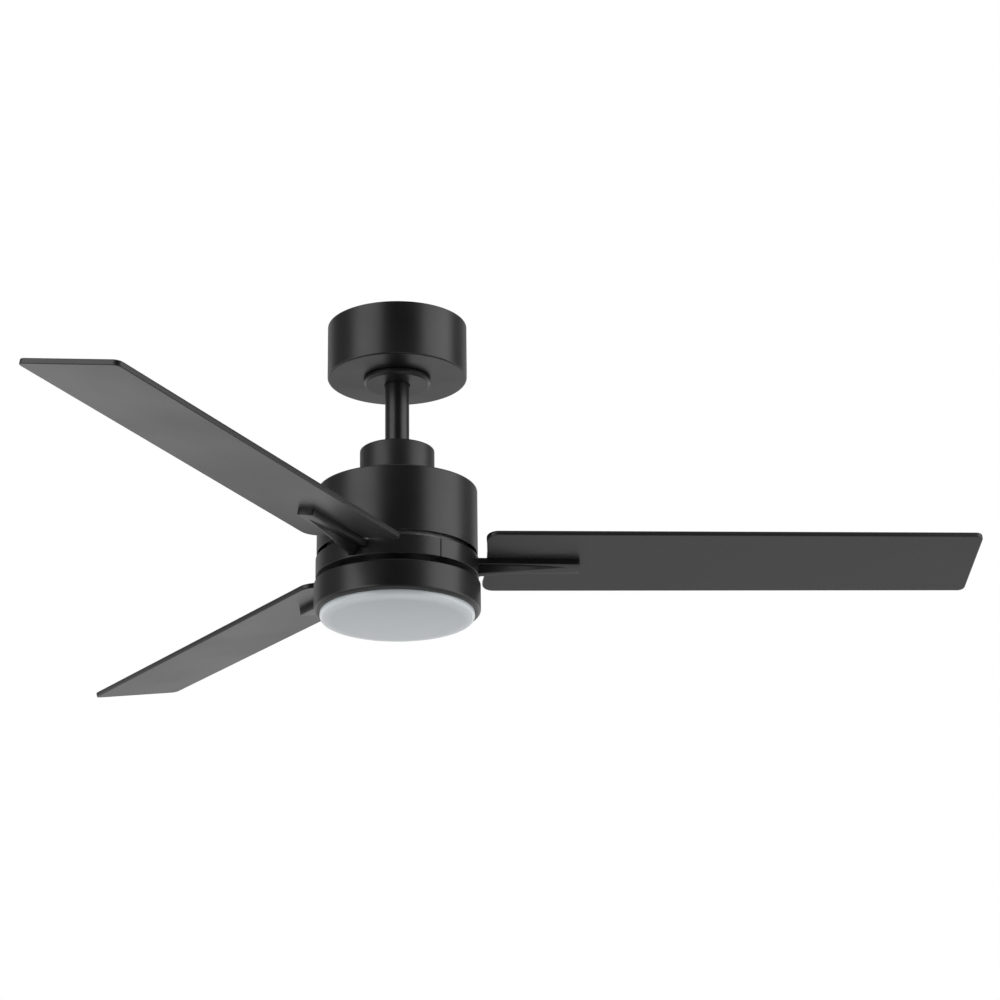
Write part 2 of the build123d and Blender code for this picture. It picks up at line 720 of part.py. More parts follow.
def bearing_outer_races():
    """The turning races in the rotor's bosses."""
    half = bearing_width / 2
    race = tube(bearing_radius, race_outer, -half, half) - race_groove(BALL_GAP)
    return [Pos(0, 0, z) * race for z in bearing_heights()]


def bearing_balls():
    """The balls of both bearings."""
    ball = Pos(ball_circle, 0, 0) * Sphere(bearing_ball_radius)
    return [Pos(0, 0, z) * one for z in bearing_heights() for one in around(ball, bearing_ball_count)]


def light_mount_plate():
    """The disc on the shaft's end that the light hangs from."""
    plate = disc(mount_plate_radius, mount_plate_bottom, mount_plate_top)
    plate -= disc(thread_radius + SCREW_GAP, mount_plate_bottom - 1, mount_plate_top + 1)
    low, high = mount_plate_bottom - 1, mount_plate_top + 1
    hole = disc(PAN_SCREW["radius"] + SCREW_GAP, low, high, pan_screw_circle)
    return cut_all(plate, around(hole, 3, 30))


PAN_SCREW = dict(radius=2.0, length=6.0, head_radius=3.8, head_height=2.6)


def shaft_nut():
    """The nut that holds the mount plate on the shaft."""
    return hex_nut(shaft_nut_radius, thread_radius + SCREW_GAP,
                   mount_plate_bottom - shaft_nut_height, mount_plate_bottom)


def light_pan():
    """The light's metal pan: closed above, with a narrow lip around the lens below."""
    outside = rounded_profile(pan_radius, pan_bottom, pan_top, pan_top_edge, pan_bottom_edge)
    inside = rounded_profile(pan_inner, pan_bottom + pan_wall, pan_top - pan_wall,
                             pan_top_edge - pan_wall, pan_bottom_edge - pan_wall)
    shell = outside - inside - disc(lens_radius + RUN_GAP, pan_bottom - 1, pan_bottom + pan_wall + 1)
    shell -= disc(pan_hole, pan_top - pan_wall - 1, pan_top + 1)
    screw_hole = disc(PAN_SCREW["radius"] + SCREW_GAP, pan_top - pan_wall - 1, pan_top + 1, pan_screw_circle)
    return cut_all(shell, around(screw_hole, 3, 30))


def pan_screws():
    """Three screws up through the pan into the mount plate."""
    screw = Pos(pan_screw_circle, 0, pan_top - pan_wall) * Rot(180, 0, 0) * pan_head_screw(**PAN_SCREW)
    return around(screw, 3, 30)


BOARD_SCREW = dict(radius=1.5, length=8.0, head_radius=2.8, head_height=1.8)
DRIVER_SCREW = dict(radius=1.2, length=5.0, head_radius=2.3, head_height=1.5)
driver_screw_x = 30.0
driver_screw_y = 17.0


def board_standoffs():
    """Four hexagon spacers between the pan and the light board."""
    high = pan_top - pan_wall
    post = Pos(0, 0, board_top) * extrude(RegularPolygon(standoff_radius, 6), high - board_top)
    post -= disc(BOARD_SCREW["radius"] + SCREW_GAP, board_top - 1, board_top + BOARD_SCREW["length"])
    return around(Pos(standoff_circle, 0, 0) * post, 4, 45)


def led_board():
    """The round aluminium board that carries the light-emitting diodes."""
    board = disc(board_radius, board_bottom, board_top)
    hole = disc(BOARD_SCREW["radius"] + SCREW_GAP, board_bottom - 1, board_top + 1, standoff_circle)
    board = cut_all(board, around(hole, 4, 45))
    for side in (-1, 1):
        board -= disc(DRIVER_SCREW["radius"] + SCREW_GAP, board_bottom - 1, board_top + 1,
                      side * driver_screw_x, side * driver_screw_y)
    return board


def board_screws():
    """Four screws that hold the board on its spacers."""
    screw = Pos(standoff_circle, 0, board_bottom) * Rot(180, 0, 0) * pan_head_screw(**BOARD_SCREW)
    return around(screw, 4, 45)


def leds():
    """The light-emitting diodes, in rings on the board's underside."""
    half = led_side / 2
    chip = block(-half, half, -half, half, board_bottom - led_height, board_bottom)
    chips = []
    for ring in range(led_ring_count):
        radius = board_radius - led_margin - ring * led_ring_step
        count = (led_ring_count - ring) * leds_more_per_ring
        chips += around(Pos(radius, 0, 0) * chip, count, 180 / count)
    return chips


def led_driver():
    """The light's driver box on the back of the board; the light's leads end on it."""
    half_l = driver_length / 2
    half_w = driver_width / 2
    box = block(-half_l, half_l, -half_w, half_w, board_top, board_top + driver_height)
    box = fillet(box.edges().filter_by(Axis.Z), 3)
    for side in (-1, 1):
        box -= disc(DRIVER_SCREW["radius"] + SCREW_GAP, board_top - 1, board_top + DRIVER_SCREW["length"],
                    side * driver_screw_x, side * driver_screw_y)
    return box


def driver_screws():
    """Two screws up through the board into the driver."""
    screw = Rot(180, 0, 0) * pan_head_screw(**DRIVER_SCREW)
    return [Pos(side * driver_screw_x, side * driver_screw_y, board_bottom) * screw for side in (-1, 1)]


def arc_block(inner, outer, low, high, angle, middle):
    """A piece of a ring, angle wide, about the direction middle."""
    def at(radius, turn):
        return (radius * cos(radians(middle + turn)), radius * sin(radians(middle + turn)))
    half = angle / 2
    edges = [ThreePointArc(at(outer, -half), at(outer, 0), at(outer, half)),
             Line(at(outer, half), at(inner, half)),
             ThreePointArc(at(inner, half), at(inner, 0), at(inner, -half)),
             Line(at(inner, -half), at(outer, -half))]
    return Pos(0, 0, low) * extrude(make_face(edges), high - low)


def lens_lock_ring():
    """The ring in the pan with three notches for the lens's tabs and a stop at each end."""
    ring = tube(pan_inner - FIT_GAP, lock_ring_hole, lock_ring_bottom, lock_ring_top)
    reach = lens_neck + lens_tab_reach + 0.6
    notch = arc_block(lock_ring_hole - 1, reach, lock_ring_bottom - 1, lock_ring_top + 1,
                      lens_tab_angle + 4, -lens_turn)
    ring = cut_all(ring, around(notch, lens_tab_count, 90))
    stop_angle = 3.0
    tab_gap = degrees(RUN_GAP / lens_neck)
    top = lock_ring_top + 2.4
    shut = lens_tab_angle / 2 + tab_gap + stop_angle / 2
    free = -lens_turn - shut
    stops = [arc_block(lock_ring_hole + 0.2, pan_inner - 1.0, lock_ring_top - 0.5, top, stop_angle, at)
             for at in (shut, free)]
    for stop in stops:
        ring = add_all(ring, around(stop, lens_tab_count, 90))
    return ring


# ---------------------------------------------------------------- the lens
def lens_form(inset):
    """The lens below its shoulder: its outside, or its hollow when inset by the wall."""
    radius = lens_radius - inset
    low = lens_bottom + inset
    dome_radius = (lens_radius ** 2 + lens_dome ** 2) / (2 * lens_dome) - inset
    body = disc(radius, low - 1, lock_ring_bottom - RUN_GAP - inset)
    body = body & Pos(0, 0, low + dome_radius) * Sphere(dome_radius)
    rim = body.edges().filter_by(lambda edge: edge.length > 4 * lens_radius).group_by(Axis.Z)[0]
    return fillet(rim, lens_edge - inset)


def lens():
    """The opal lens: a shallow dome with a neck and three bayonet tabs."""
    shoulder = lock_ring_bottom - RUN_GAP
    neck_top = lock_ring_top + RUN_GAP + lens_tab_thickness
    neck_inner = lens_neck - lens_wall
    body = lens_form(0) + disc(lens_neck, shoulder - 1, neck_top)
    body = body - lens_form(lens_wall) - disc(neck_inner, shoulder - lens_wall - 1, neck_top + 1)
    tab = arc_block(neck_inner + 0.5, lens_neck + lens_tab_reach, lock_ring_top + RUN_GAP, neck_top,
                    lens_tab_angle, 0)
    return add_all(body, around(tab, lens_tab_count, 90))


# ---------------------------------------------------------------- what turns
SHELL_SCREW = dict(radius=2.0, length=5.6, head_radius=2.9, head_height=2.2)
shell_screw_count = 6
HUB_SCREW = dict(radius=2.5, length=10.0, head_radius=4.2, head_height=2.8)
hub_screw_circle = 44.0
hub_screw_angles = [base + turn for base in (60, 180, 300) for turn in (-10, 10)]
IRON_SCREW = dict(radius=2.5, length=12.0, head_radius=4.4, head_height=3.0)
iron_screw_radii = (hub_hole + 16.0, post_circle)
BAND_SCREW = dict(radius=1.7, length=23.0, head_radius=3.4, head_height=2.2)
BLADE_SCREW = dict(radius=2.4, length=12.0, head_radius=5.0, head_height=2.4)
blade_screw_outward = (20.0, 52.0, 84.0)   # from the blade's root


def shell_screw_places(shape):
    """Copies of a shape at the rotor flange's screws."""
    return around(Pos((flange_radius + rotor_radius) / 2, 0, 0) * shape, shell_screw_count, 30)


def rotor_shell(end, inner_face, bearing_low, bearing_high, boss_end):
    """One half of the rotor's shell, from its end plate to the joint at rotor_joint."""
    low, high = sorted((end, rotor_joint))
    inner_low, inner_high = sorted((inner_face, rotor_joint))
    shell = disc(rotor_radius, low, high) - disc(rotor_inner, inner_low, inner_high)
    toward = 1 if end > rotor_joint else -1
    flange_low, flange_high = sorted((rotor_joint, rotor_joint + toward * 3))
    shell += tube(flange_radius, rotor_inner, flange_low, flange_high)
    boss_low, boss_high = sorted((inner_face + toward, boss_end))
    shell += disc(boss_radius, boss_low, boss_high)
    pocket_low, pocket_high = sorted((boss_end - toward, bearing_high if toward > 0 else bearing_low))
    shell -= disc(bearing_radius + SCREW_GAP, pocket_low, pocket_high)
    shell -= disc(shoulder_radius + 3, low - 1, high + 1)
    hole = disc(SHELL_SCREW["radius"] + SCREW_GAP, flange_low - 1, flange_high + 1)
    return cut_all(shell, shell_screw_places(hole))


def rotor_upper_shell():
    """The upper half, with the upper bearing's boss."""
    return rotor_shell(rotor_top, rotor_top - rotor_end, shoulder_top, upper_bearing_top, shoulder_top)


def rotor_lower_shell():
    """The lower half, with the lower bearing's boss and the hub's threaded holes."""
    shell = rotor_shell(rotor_bottom, rotor_bottom + rotor_end, lower_bearing_bottom, shoulder_bottom,
                        shoulder_bottom)
    depth = HUB_SCREW["length"] - hub_thickness + 0.5
    hole = disc(HUB_SCREW["radius"] + SCREW_GAP, rotor_bottom - 1, rotor_bottom + depth, hub_screw_circle)
    return cut_all(shell, [Rot(0, 0, angle) * hole for angle in hub_screw_angles])


def rotor_shell_screws():
    """Six screws that close the rotor's shell, driven from below."""
    screw = Pos(0, 0, rotor_joint - 3) * Rot(180, 0, 0) * pan_head_screw(**SHELL_SCREW)
    return shell_screw_places(screw)


def rotor_back_iron():
    """The steel ring behind the magnets."""
    return tube(rotor_inner - FIT_GAP, magnet_outer, core_bottom - 1, core_top + 1)


def rotor_magnets():
    """The magnets around the stator."""
    ring = tube(magnet_outer - SCREW_GAP, magnet_inner, core_bottom - 1, core_top + 1)
    half = 180 / magnet_count
    shift = magnet_slit / 2 / sin(radians(half))
    magnet = ring & sector(half, shift)
    return around(magnet, magnet_count)


def blade_hub():
    """The disc under the rotor that carries the blade irons and the band."""
    hub = tube(hub_radius, hub_hole, hub_bottom, rotor_bottom)
    low, high = hub_bottom - 1, rotor_bottom + 1
    hub_hole_tool = disc(HUB_SCREW["radius"] + SCREW_GAP, low, high, hub_screw_circle)
    tools = [Rot(0, 0, angle) * hub_hole_tool for angle in hub_screw_angles]
    for radius in iron_screw_radii:
        tools += around(disc(IRON_SCREW["radius"] + SCREW_GAP, low, high, radius), blade_count)
    for side in (-1, 1):
        tools += around(disc(BAND_SCREW["radius"] + SCREW_GAP, low, high, post_circle), blade_count,
                        side * post_angle)
    return cut_all(hub, tools)


def hub_screws():
    """Six screws from below that hold the hub on the rotor."""
    screw = Pos(hub_screw_circle, 0, hub_bottom) * Rot(180, 0, 0) * pan_head_screw(**HUB_SCREW)
    return [Rot(0, 0, angle) * screw for angle in hub_screw_angles]


# A blade's own frame: its origin is on the blade's underside over the band's face, x runs
# outwards, y across the blade towards its lower edge and z out of its upper face.
blade_origin = Pos(band_radius, 0, band_top - blade_below_band_top)
blade_frame = blade_origin * Rot(0, -blade_rise, 0) * Rot(-blade_pitch, 0, 0)


def placed(shape, number):
    """A shape in the blade's frame, put in the place of blade number 1, 2 or 3."""
    return Rot(0, 0, 360 * (number - 1) / blade_count) * blade_frame * shape


def iron_bar(grow, top):
    """The flat bar under the blade, in the blade's frame."""
    inner = -(band_wall + iron_plate_band_gap + 6)
    end = iron_length + grow
    root_half = iron_root_half + grow
    end_half = iron_end_half + grow
    outline = Polyline([(inner, -root_half), (0, -root_half), (end, -end_half), (end, end_half),
                        (0, root_half), (inner, root_half)], close=True)
    low = -iron_thickness - grow
    return Pos(0, 0, low) * extrude(make_face(outline), top - low)


def iron_rib(grow):
    """The rib under the bar: deep at the band, nothing at its outer point."""
    def section(x, left, right, depth, draft):
        low = -iron_thickness - depth - grow
        high = -iron_thickness + iron_edge
        points = [(x, left - grow, high), (x, left + draft - grow, low),
                  (x, right - draft + grow, low), (x, right + grow, high)]
        return make_face(Polyline(points, close=True))
    inner = -(band_wall + 2)
    deeper = rib_depth * (1 - inner / rib_length)
    root = section(inner, rib_low_side, rib_high_side, deeper, rib_draft)
    point = section(rib_length, rib_point - 0.6, rib_point + 0.6, 0.2, 0.2)
    return loft([root, point], ruled=True)


def blade_iron(number):
    """A blade's iron: a flat plate under the hub, a pitched bar under the blade, and its rib."""
    bar = iron_bar(0, 0)
    outer_corners = bar.edges().filter_by(Axis.Z).group_by(Axis.X)[-1]
    bar = fillet(outer_corners, 2.5)
    bar = chamfer(bar.faces().sort_by(Axis.Z)[0].edges().filter_by(lambda e: e.center().X > 1), iron_edge)
    for outward in blade_screw_outward:
        bar -= disc(BLADE_SCREW["radius"] + SCREW_GAP, -iron_thickness - 1, 1, blade_root_gap + outward)
    arm = blade_frame * (bar + iron_rib(0))
    outer = band_inner - iron_plate_band_gap
    low = hub_bottom - iron_plate
    plate = block(iron_plate_inner, outer, -iron_plate_half, iron_plate_half, low, hub_bottom)
    plate = fillet(plate.edges().filter_by(Axis.Z).group_by(Axis.X)[0], 5)
    for radius in iron_screw_radii:
        plate -= disc(IRON_SCREW["radius"] + SCREW_GAP, low - 1, hub_bottom + 1, radius)
    return Rot(0, 0, 360 * (number - 1) / blade_count) * (arm + plate)


def iron_screws():
    """Two screws for each iron, from below."""
    screws = []
    for radius in iron_screw_radii:
        at = Pos(radius, 0, hub_bottom - iron_plate) * Rot(180, 0, 0)
        screws += around(at * pan_head_screw(**IRON_SCREW), blade_count)
    return screws


def seam_cover(floor_top):
    """A tongue at a third's end that reaches behind the next third and closes the seam to the eye."""
    outer = band_inner - FIT_GAP
    inner = outer - seam_tongue
    high = band_top - band_wall
    tongue = tube(outer, inner, floor_top + FIT_GAP, high)
    tongue &= block(inner - 5, band_radius, -seam_overlap, seam_overlap, floor_top, high)
    root = tube(band_inner + 0.3, inner, floor_top - 0.5, high)
    root &= block(inner - 5, band_radius, -seam_overlap, -seam_gap, floor_top - 0.5, high)
    return Rot(0, 0, 180 / blade_count) * (tongue + root)


def hub_band(number):
    """A third of the turning band: its wall, its floor, two screw posts and the seam's tongue."""
    floor_top = band_bottom + band_wall
    ring = tube(band_radius, band_inner, band_bottom, band_top)
    ring += tube(band_inner + 0.5, band_flange_hole, band_bottom, floor_top)
    part = ring & sector(180 / blade_count, seam_gap / 2 / sin(radians(180 / blade_count)))
    part += seam_cover(floor_top)
    for side in (-1, 1):
        turn = Rot(0, 0, side * post_angle)
        part += turn * disc(post_radius, band_bottom, hub_bottom, post_circle)
        part -= turn * disc(BAND_SCREW["radius"] + SCREW_GAP, band_bottom - 1, hub_bottom + 1, post_circle)
    part -= blade_frame * (iron_bar(notch_gap, 20) + iron_rib(notch_gap))
    return Rot(0, 0, 360 * (number - 1) / blade_count) * part


def band_screws():
    """Two screws for each third of the band."""
    screw = Pos(post_circle, 0, band_bottom) * Rot(180, 0, 0) * pan_head_screw(**BAND_SCREW)
    return [one for side in (-1, 1) for one in around(screw, blade_count, side * post_angle)]


def blade(number):
    """A flat blade with rounded corners and three screw holes."""
    root = blade_root - band_radius
    tip = blade_tip - band_radius
    edges = [Line((root, -blade_root_half), (tip, -blade_tip_half)),
             Line((tip, -blade_tip_half), (tip, blade_tip_half)),
             Line((tip, blade_tip_half), (root, blade_root_half)),
             ThreePointArc((root, blade_root_half), (root + blade_root_hollow, 0), (root, -blade_root_half))]
    face = make_face(edges)
    face = fillet(face.vertices().group_by(Axis.X)[-1], blade_tip_corner)
    face = fillet(face.vertices().group_by(Axis.X)[0], blade_root_corner)
    board = extrude(face, blade_thickness)
    rims = board.faces().sort_by(Axis.Z)[0].edges() + board.faces().sort_by(Axis.Z)[-1].edges()
    board = fillet(rims, blade_edge)
    for outward in blade_screw_outward:
        board -= disc(BLADE_SCREW["radius"] + SCREW_GAP, -1, blade_thickness + 1, root + outward)
    return placed(board, number)


def blade_screws():
    """Three screws for each blade, from above into its iron."""
    root = blade_root - band_radius
    return [placed(Pos(root + outward, 0, blade_thickness) * pan_head_screw(**BLADE_SCREW), number)
            for number in range(1, blade_count + 1) for outward in blade_screw_outward]


# ---------------------------------------------------------------- writing the parts
pieces = {
    "hanger_bracket": hanger_bracket, "canopy": canopy, "canopy_screws": canopy_screws,
    "canopy_trim_ring": canopy_trim_ring, "receiver_module": receiver_module,
    "receiver_screws": receiver_screws, "ground_screw": ground_screw,
    "hanger_ball": hanger_ball, "ball_pin": ball_pin, "set_screws": set_screws, "downrod": downrod,
    "rod_grommet": rod_grommet, "motor_leads": motor_leads, "lead_plug": lead_plug,
    "motor_yoke": motor_yoke, "yoke_pin": yoke_pin, "pin_clip": pin_clip,
    "flange_screws": flange_screws, "flange_nuts": flange_nuts,
    "coupling_cover": coupling_cover, "motor_housing": motor_housing, "motor_shaft": motor_shaft,
    "stator_core": stator_core, "stator_coils": stator_coils,
    "bearing_inner_races": bearing_inner_races, "light_mount_plate": light_mount_plate,
    "shaft_nut": shaft_nut, "light_pan": light_pan, "pan_screws": pan_screws,
    "lens_lock_ring": lens_lock_ring, "board_standoffs": board_standoffs, "led_board": led_board,
    "board_screws": board_screws, "leds": leds, "led_driver": led_driver,
    "driver_screws": driver_screws, "lens": lens,
    "rotor_upper_shell": rotor_upper_shell, "rotor_lower_shell": rotor_lower_shell,
    "rotor_shell_screws": rotor_shell_screws, "rotor_back_iron": rotor_back_iron,
    "rotor_magnets": rotor_magnets, "bearing_outer_races": bearing_outer_races,
    "bearing_balls": bearing_balls, "blade_hub": blade_hub, "hub_screws": hub_screws,
    "iron_screws": iron_screws, "band_screws": band_screws, "blade_screws": blade_screws,
}

os.makedirs("parts", exist_ok=True)


def write(name, shape):
    """One STEP file for each sub-part; a list of shapes becomes a group of solids."""
    if isinstance(shape, list):
        shape = Compound(children=[Part() + one for one in shape])
    export_step(shape, os.path.join("parts", name + ".step"))


for name, make in pieces.items():
    write(name, make())
for number in range(1, blade_count + 1):
    write(f"blade_iron_{number}", blade_iron(number))
    write(f"hub_band_{number}", hub_band(number))
    write(f"blade_{number}", blade(number))
print(len(pieces) + 3 * blade_count, "sub-parts written")
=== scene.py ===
# %% [markdown]
# A ceiling fan with light. The real one is steel drums pressed from sheet, a pipe, three moulded
# band pieces, three cast blade irons, three plywood blades in a black film, and an opal lens.
# The CAD frame already holds every piece at its real size and place. This lesson keeps its inner
# pieces, gives them finishes, and rebuilds the ones that show as smooth, soft-edged meshes.

# %% Load the frame
import json
import math

import bmesh
import bpy
from mathutils import Matrix, Vector


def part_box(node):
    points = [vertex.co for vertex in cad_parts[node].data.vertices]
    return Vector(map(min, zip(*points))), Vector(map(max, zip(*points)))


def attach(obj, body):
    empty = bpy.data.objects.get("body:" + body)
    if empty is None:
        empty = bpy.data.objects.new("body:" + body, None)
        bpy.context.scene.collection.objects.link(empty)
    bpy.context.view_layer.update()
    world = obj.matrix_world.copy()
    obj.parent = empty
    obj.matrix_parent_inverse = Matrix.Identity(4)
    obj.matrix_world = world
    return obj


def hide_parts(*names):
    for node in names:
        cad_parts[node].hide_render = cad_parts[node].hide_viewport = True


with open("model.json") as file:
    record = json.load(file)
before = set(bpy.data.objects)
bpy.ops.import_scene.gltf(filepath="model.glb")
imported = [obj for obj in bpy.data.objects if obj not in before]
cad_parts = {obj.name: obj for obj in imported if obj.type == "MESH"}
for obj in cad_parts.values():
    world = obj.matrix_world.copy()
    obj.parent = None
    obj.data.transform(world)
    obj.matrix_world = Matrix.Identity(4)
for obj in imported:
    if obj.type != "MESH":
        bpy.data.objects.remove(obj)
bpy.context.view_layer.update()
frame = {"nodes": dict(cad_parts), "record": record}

MM = 0.001
nodes = frame["nodes"]

# %% [markdown]
# The camera stands low in front of the fan and looks up at it, as a person in the room does.
# A long lens keeps the drums' sides nearly parallel. The fan sits left of the middle, so the lens
# is shifted sideways instead of the camera being turned, which keeps upright edges upright.

# %% The camera
look_at = Vector((0.0, 0.0, -0.2883))
camera_distance = 3.286
camera_below = math.radians(18.56)
camera_heading = math.radians(1.53)
camera_pitch = math.radians(19.80)

camera_data = bpy.data.cameras.new("room_camera")
camera_data.sensor_width = 36.0
camera_data.lens = 104.4
camera_data.shift_x = 0.1028
camera = bpy.data.objects.new("room_camera", camera_data)
bpy.context.scene.collection.objects.link(camera)
level_distance = camera_distance * math.cos(camera_below)
camera.location = look_at - Vector((level_distance * math.sin(camera_heading),
                                    level_distance * math.cos(camera_heading),
                                    camera_distance * math.sin(camera_below)))
camera.rotation_euler = (math.pi / 2 + camera_pitch, 0.0, -camera_heading)
bpy.context.scene.camera = camera
print("camera at", [round(value, 3) for value in camera.location])

# %% [markdown]
# A satin black object is drawn by what it reflects, so the light matters as much as the paint.
# Two tall soft boxes stand left and right and draw the pale stripes on the drums; the room in
# front of the fan is dark and draws the dark stripe between them. Two dim ones behind the fan draw
# the drums' far edges. A fifth faces down and lights the pale floor, and the floor lights the
# undersides.

# %% The soft boxes
def soft_box(name, place, aim, size, radiance):
    """A rectangular light that the camera itself doesn't see, set by its brightness per area."""
    data = bpy.data.lights.new(name, "AREA")
    data.shape = "RECTANGLE"
    data.size, data.size_y = size
    data.energy = radiance * math.pi * size[0] * size[1]
    light = bpy.data.objects.new(name, data)
    bpy.context.scene.collection.objects.link(light)
    light.location = place
    light.rotation_euler = (Vector(place) - Vector(aim)).to_track_quat("Z", "Y").to_euler()
    light.visible_camera = False
    return light


side_distance = 2.3
side_height = 0.35
side_tall = 2.6
upright_boxes = (  # name, degrees around the axis from the front, width and radiance
    ("left_box", -52.0, 2.0, 2.2), ("right_box", 68.0, 2.5, 2.2),
    ("back_left_box", -148.0, 1.3, 0.35), ("back_right_box", 148.0, 1.3, 0.35))
for name, degrees, wide, radiance in upright_boxes:
    angle = math.radians(degrees)
    place = (side_distance * math.sin(angle), -side_distance * math.cos(angle), side_height)
    soft_box(name, place, (0.0, 0.0, side_height), (wide, side_tall), radiance)

floor_height = -3.4
floor_box_height = -1.9
floor_box_side = 8.9
floor_box_radiance = 0.55
soft_box("floor_box", (0.0, 0.0, floor_box_height), (0.0, 0.0, floor_height),
         (floor_box_side, floor_box_side), floor_box_radiance)
print(len(upright_boxes) + 1, "soft boxes")

# %% The floor
floor_radius = 6.7


def finish_object(name, bm):
    """Turns a bmesh into a linked object at the origin."""
    mesh = bpy.data.meshes.new(name)
    bm.to_mesh(mesh)
    bm.free()
    piece = bpy.data.objects.new(name, mesh)
    bpy.context.scene.collection.objects.link(piece)
    return piece


floor_mesh = bmesh.new()
bmesh.ops.create_circle(floor_mesh, cap_ends=True, segments=96, radius=floor_radius,
                        matrix=Matrix.Translation((0, 0, floor_height)))
floor = finish_object("room_floor", floor_mesh)

# %% [markdown]
# Each finish below is a small node tree. One helper adds a node: an input that is given as a
# socket is linked, and anything else is set as its value. Another makes the one shader of a
# finish and wires it up.

# %% Helpers for node trees
def add(tree, kind, inputs=None, **settings):
    """Adds a node to a tree, sets it up and wires its inputs."""
    node = tree.nodes.new(kind)
    for name, value in settings.items():
        setattr(node, name, value)
    for key, value in (inputs or {}).items():
        if isinstance(value, bpy.types.NodeSocket):
            tree.links.new(value, node.inputs[key])
        else:
            node.inputs[key].default_value = value
    return node


def maths(tree, kind, *values):
    """The result of a Math node on sockets or numbers."""
    return add(tree, "ShaderNodeMath", dict(enumerate(values)), operation=kind).outputs[0]


def mix(tree, share, first, second):
    """The colour that lies a share of the way from the first colour to the second."""
    first, second = [value if isinstance(value, bpy.types.NodeSocket) else (*value, 1.0)
                     for value in (first, second)]
    return add(tree, "ShaderNodeMix", {0: share, 6: first, 7: second}, data_type="RGBA").outputs[2]


def ramp(tree, *values):
    """A smooth ramp of a socket: its range from and to, and the result's from and to."""
    return add(tree, "ShaderNodeMapRange", dict(enumerate(values)),
               interpolation_type="SMOOTHSTEP").outputs[0]


def new_material(name):
    """An empty material: its tree and its output node."""
    material = bpy.data.materials.new(name)
    material.use_nodes = True
    material.node_tree.nodes.clear()
    return material, material.node_tree, add(material.node_tree, "ShaderNodeOutputMaterial")


def surface(tree, out, inputs):
    """The shader of a finish, wired to its output."""
    shader = add(tree, "ShaderNodeBsdfPrincipled", inputs)
    tree.links.new(shader.outputs[0], out.inputs[0])


# %% [markdown]
# The camera sees white paper behind the fan. The light that falls on the fan from the room itself
# is dim: dark from the front, a little paler from behind, pale from low down behind the fan and
# from the ceiling overhead.

# %% The room around the fan
world = bpy.data.worlds.new("room")
bpy.context.scene.world = world
world.use_nodes = True
room = world.node_tree
room.nodes.clear()
direction = add(room, "ShaderNodeTexCoord").outputs["Generated"]
axes = add(room, "ShaderNodeSeparateXYZ", {0: direction})
level = add(room, "ShaderNodeCombineXYZ", {0: axes.outputs[0], 1: axes.outputs[1]})
level = add(room, "ShaderNodeVectorMath", {0: level.outputs[0]}, operation="NORMALIZE")
depth = add(room, "ShaderNodeSeparateXYZ", {0: level.outputs[0]}).outputs[1]

walls = ramp(room, depth, -0.95, 0.0, 0.01, 0.16)
skirting = ramp(room, depth, -0.6, 0.3, 0.05, 0.86)
shade = ramp(room, axes.outputs[2], -0.04, 0.22, skirting, walls)
shade = ramp(room, axes.outputs[2], 0.6, 1.0, shade, 0.8)
dim = add(room, "ShaderNodeBackground", {0: (1, 1, 1, 1), 1: shade})
paper = add(room, "ShaderNodeBackground", {0: (1, 1, 1, 1), 1: 1.0})
seen = add(room, "ShaderNodeLightPath").outputs["Is Camera Ray"]
mixed = add(room, "ShaderNodeMixShader", {0: seen, 1: dim.outputs[0], 2: paper.outputs[0]})
add(room, "ShaderNodeOutputWorld", {0: mixed.outputs[0]})
bpy.context.scene.view_settings.view_transform = "Standard"
print("white paper behind the fan, dim room around it")

# %% The floor's paint
floor_paint, tree, out = new_material("floor_paint")
speckle = add(tree, "ShaderNodeTexNoise", {"Scale": 3.0, "Detail": 2.0})
tone = add(tree, "ShaderNodeMapRange", {0: speckle.outputs[0], 3: 0.78, 4: 0.82})
surface(tree, out, {"Base Color": tone.outputs[0], "Roughness": 0.9})
floor.data.materials.append(floor_paint)

# %% [markdown]
# Powder coat is paint fired on as dust. It is satin, never a mirror: under a lens it has a fine
# orange-peel skin about a millimetre from hill to hill, and its gloss drifts a little over a
# hand's width. Both come from noise on Object coordinates, so every drum gets its own stretch of
# the same paint.

# %% Powder coats and moulded blacks
def coat(name, colour, gloss, peel_size, peel_height, drift=0.04):
    """A satin coat: colour, roughness, size of its orange peel in metres and its height."""
    material, tree, out = new_material(name)
    place = add(tree, "ShaderNodeTexCoord").outputs["Object"]
    broad = add(tree, "ShaderNodeTexNoise", {"Vector": place, "Scale": 14.0, "Detail": 3.0})
    rough = add(tree, "ShaderNodeMapRange", {0: broad.outputs[0], 1: 0.3, 2: 0.7,
                                             3: gloss - drift, 4: gloss + drift})
    light, dark = [tuple(value * share for value in colour) for share in (1.12, 0.88)]
    tint = mix(tree, broad.outputs[0], dark, light)
    peel = add(tree, "ShaderNodeTexNoise", {"Vector": place, "Scale": 1 / peel_size, "Detail": 2.0})
    bump = add(tree, "ShaderNodeBump", {"Height": peel.outputs[0], "Distance": peel_height, "Strength": 1.0})
    surface(tree, out, {"Base Color": tint, "Roughness": rough.outputs[0], "Normal": bump.outputs[0]})
    return material


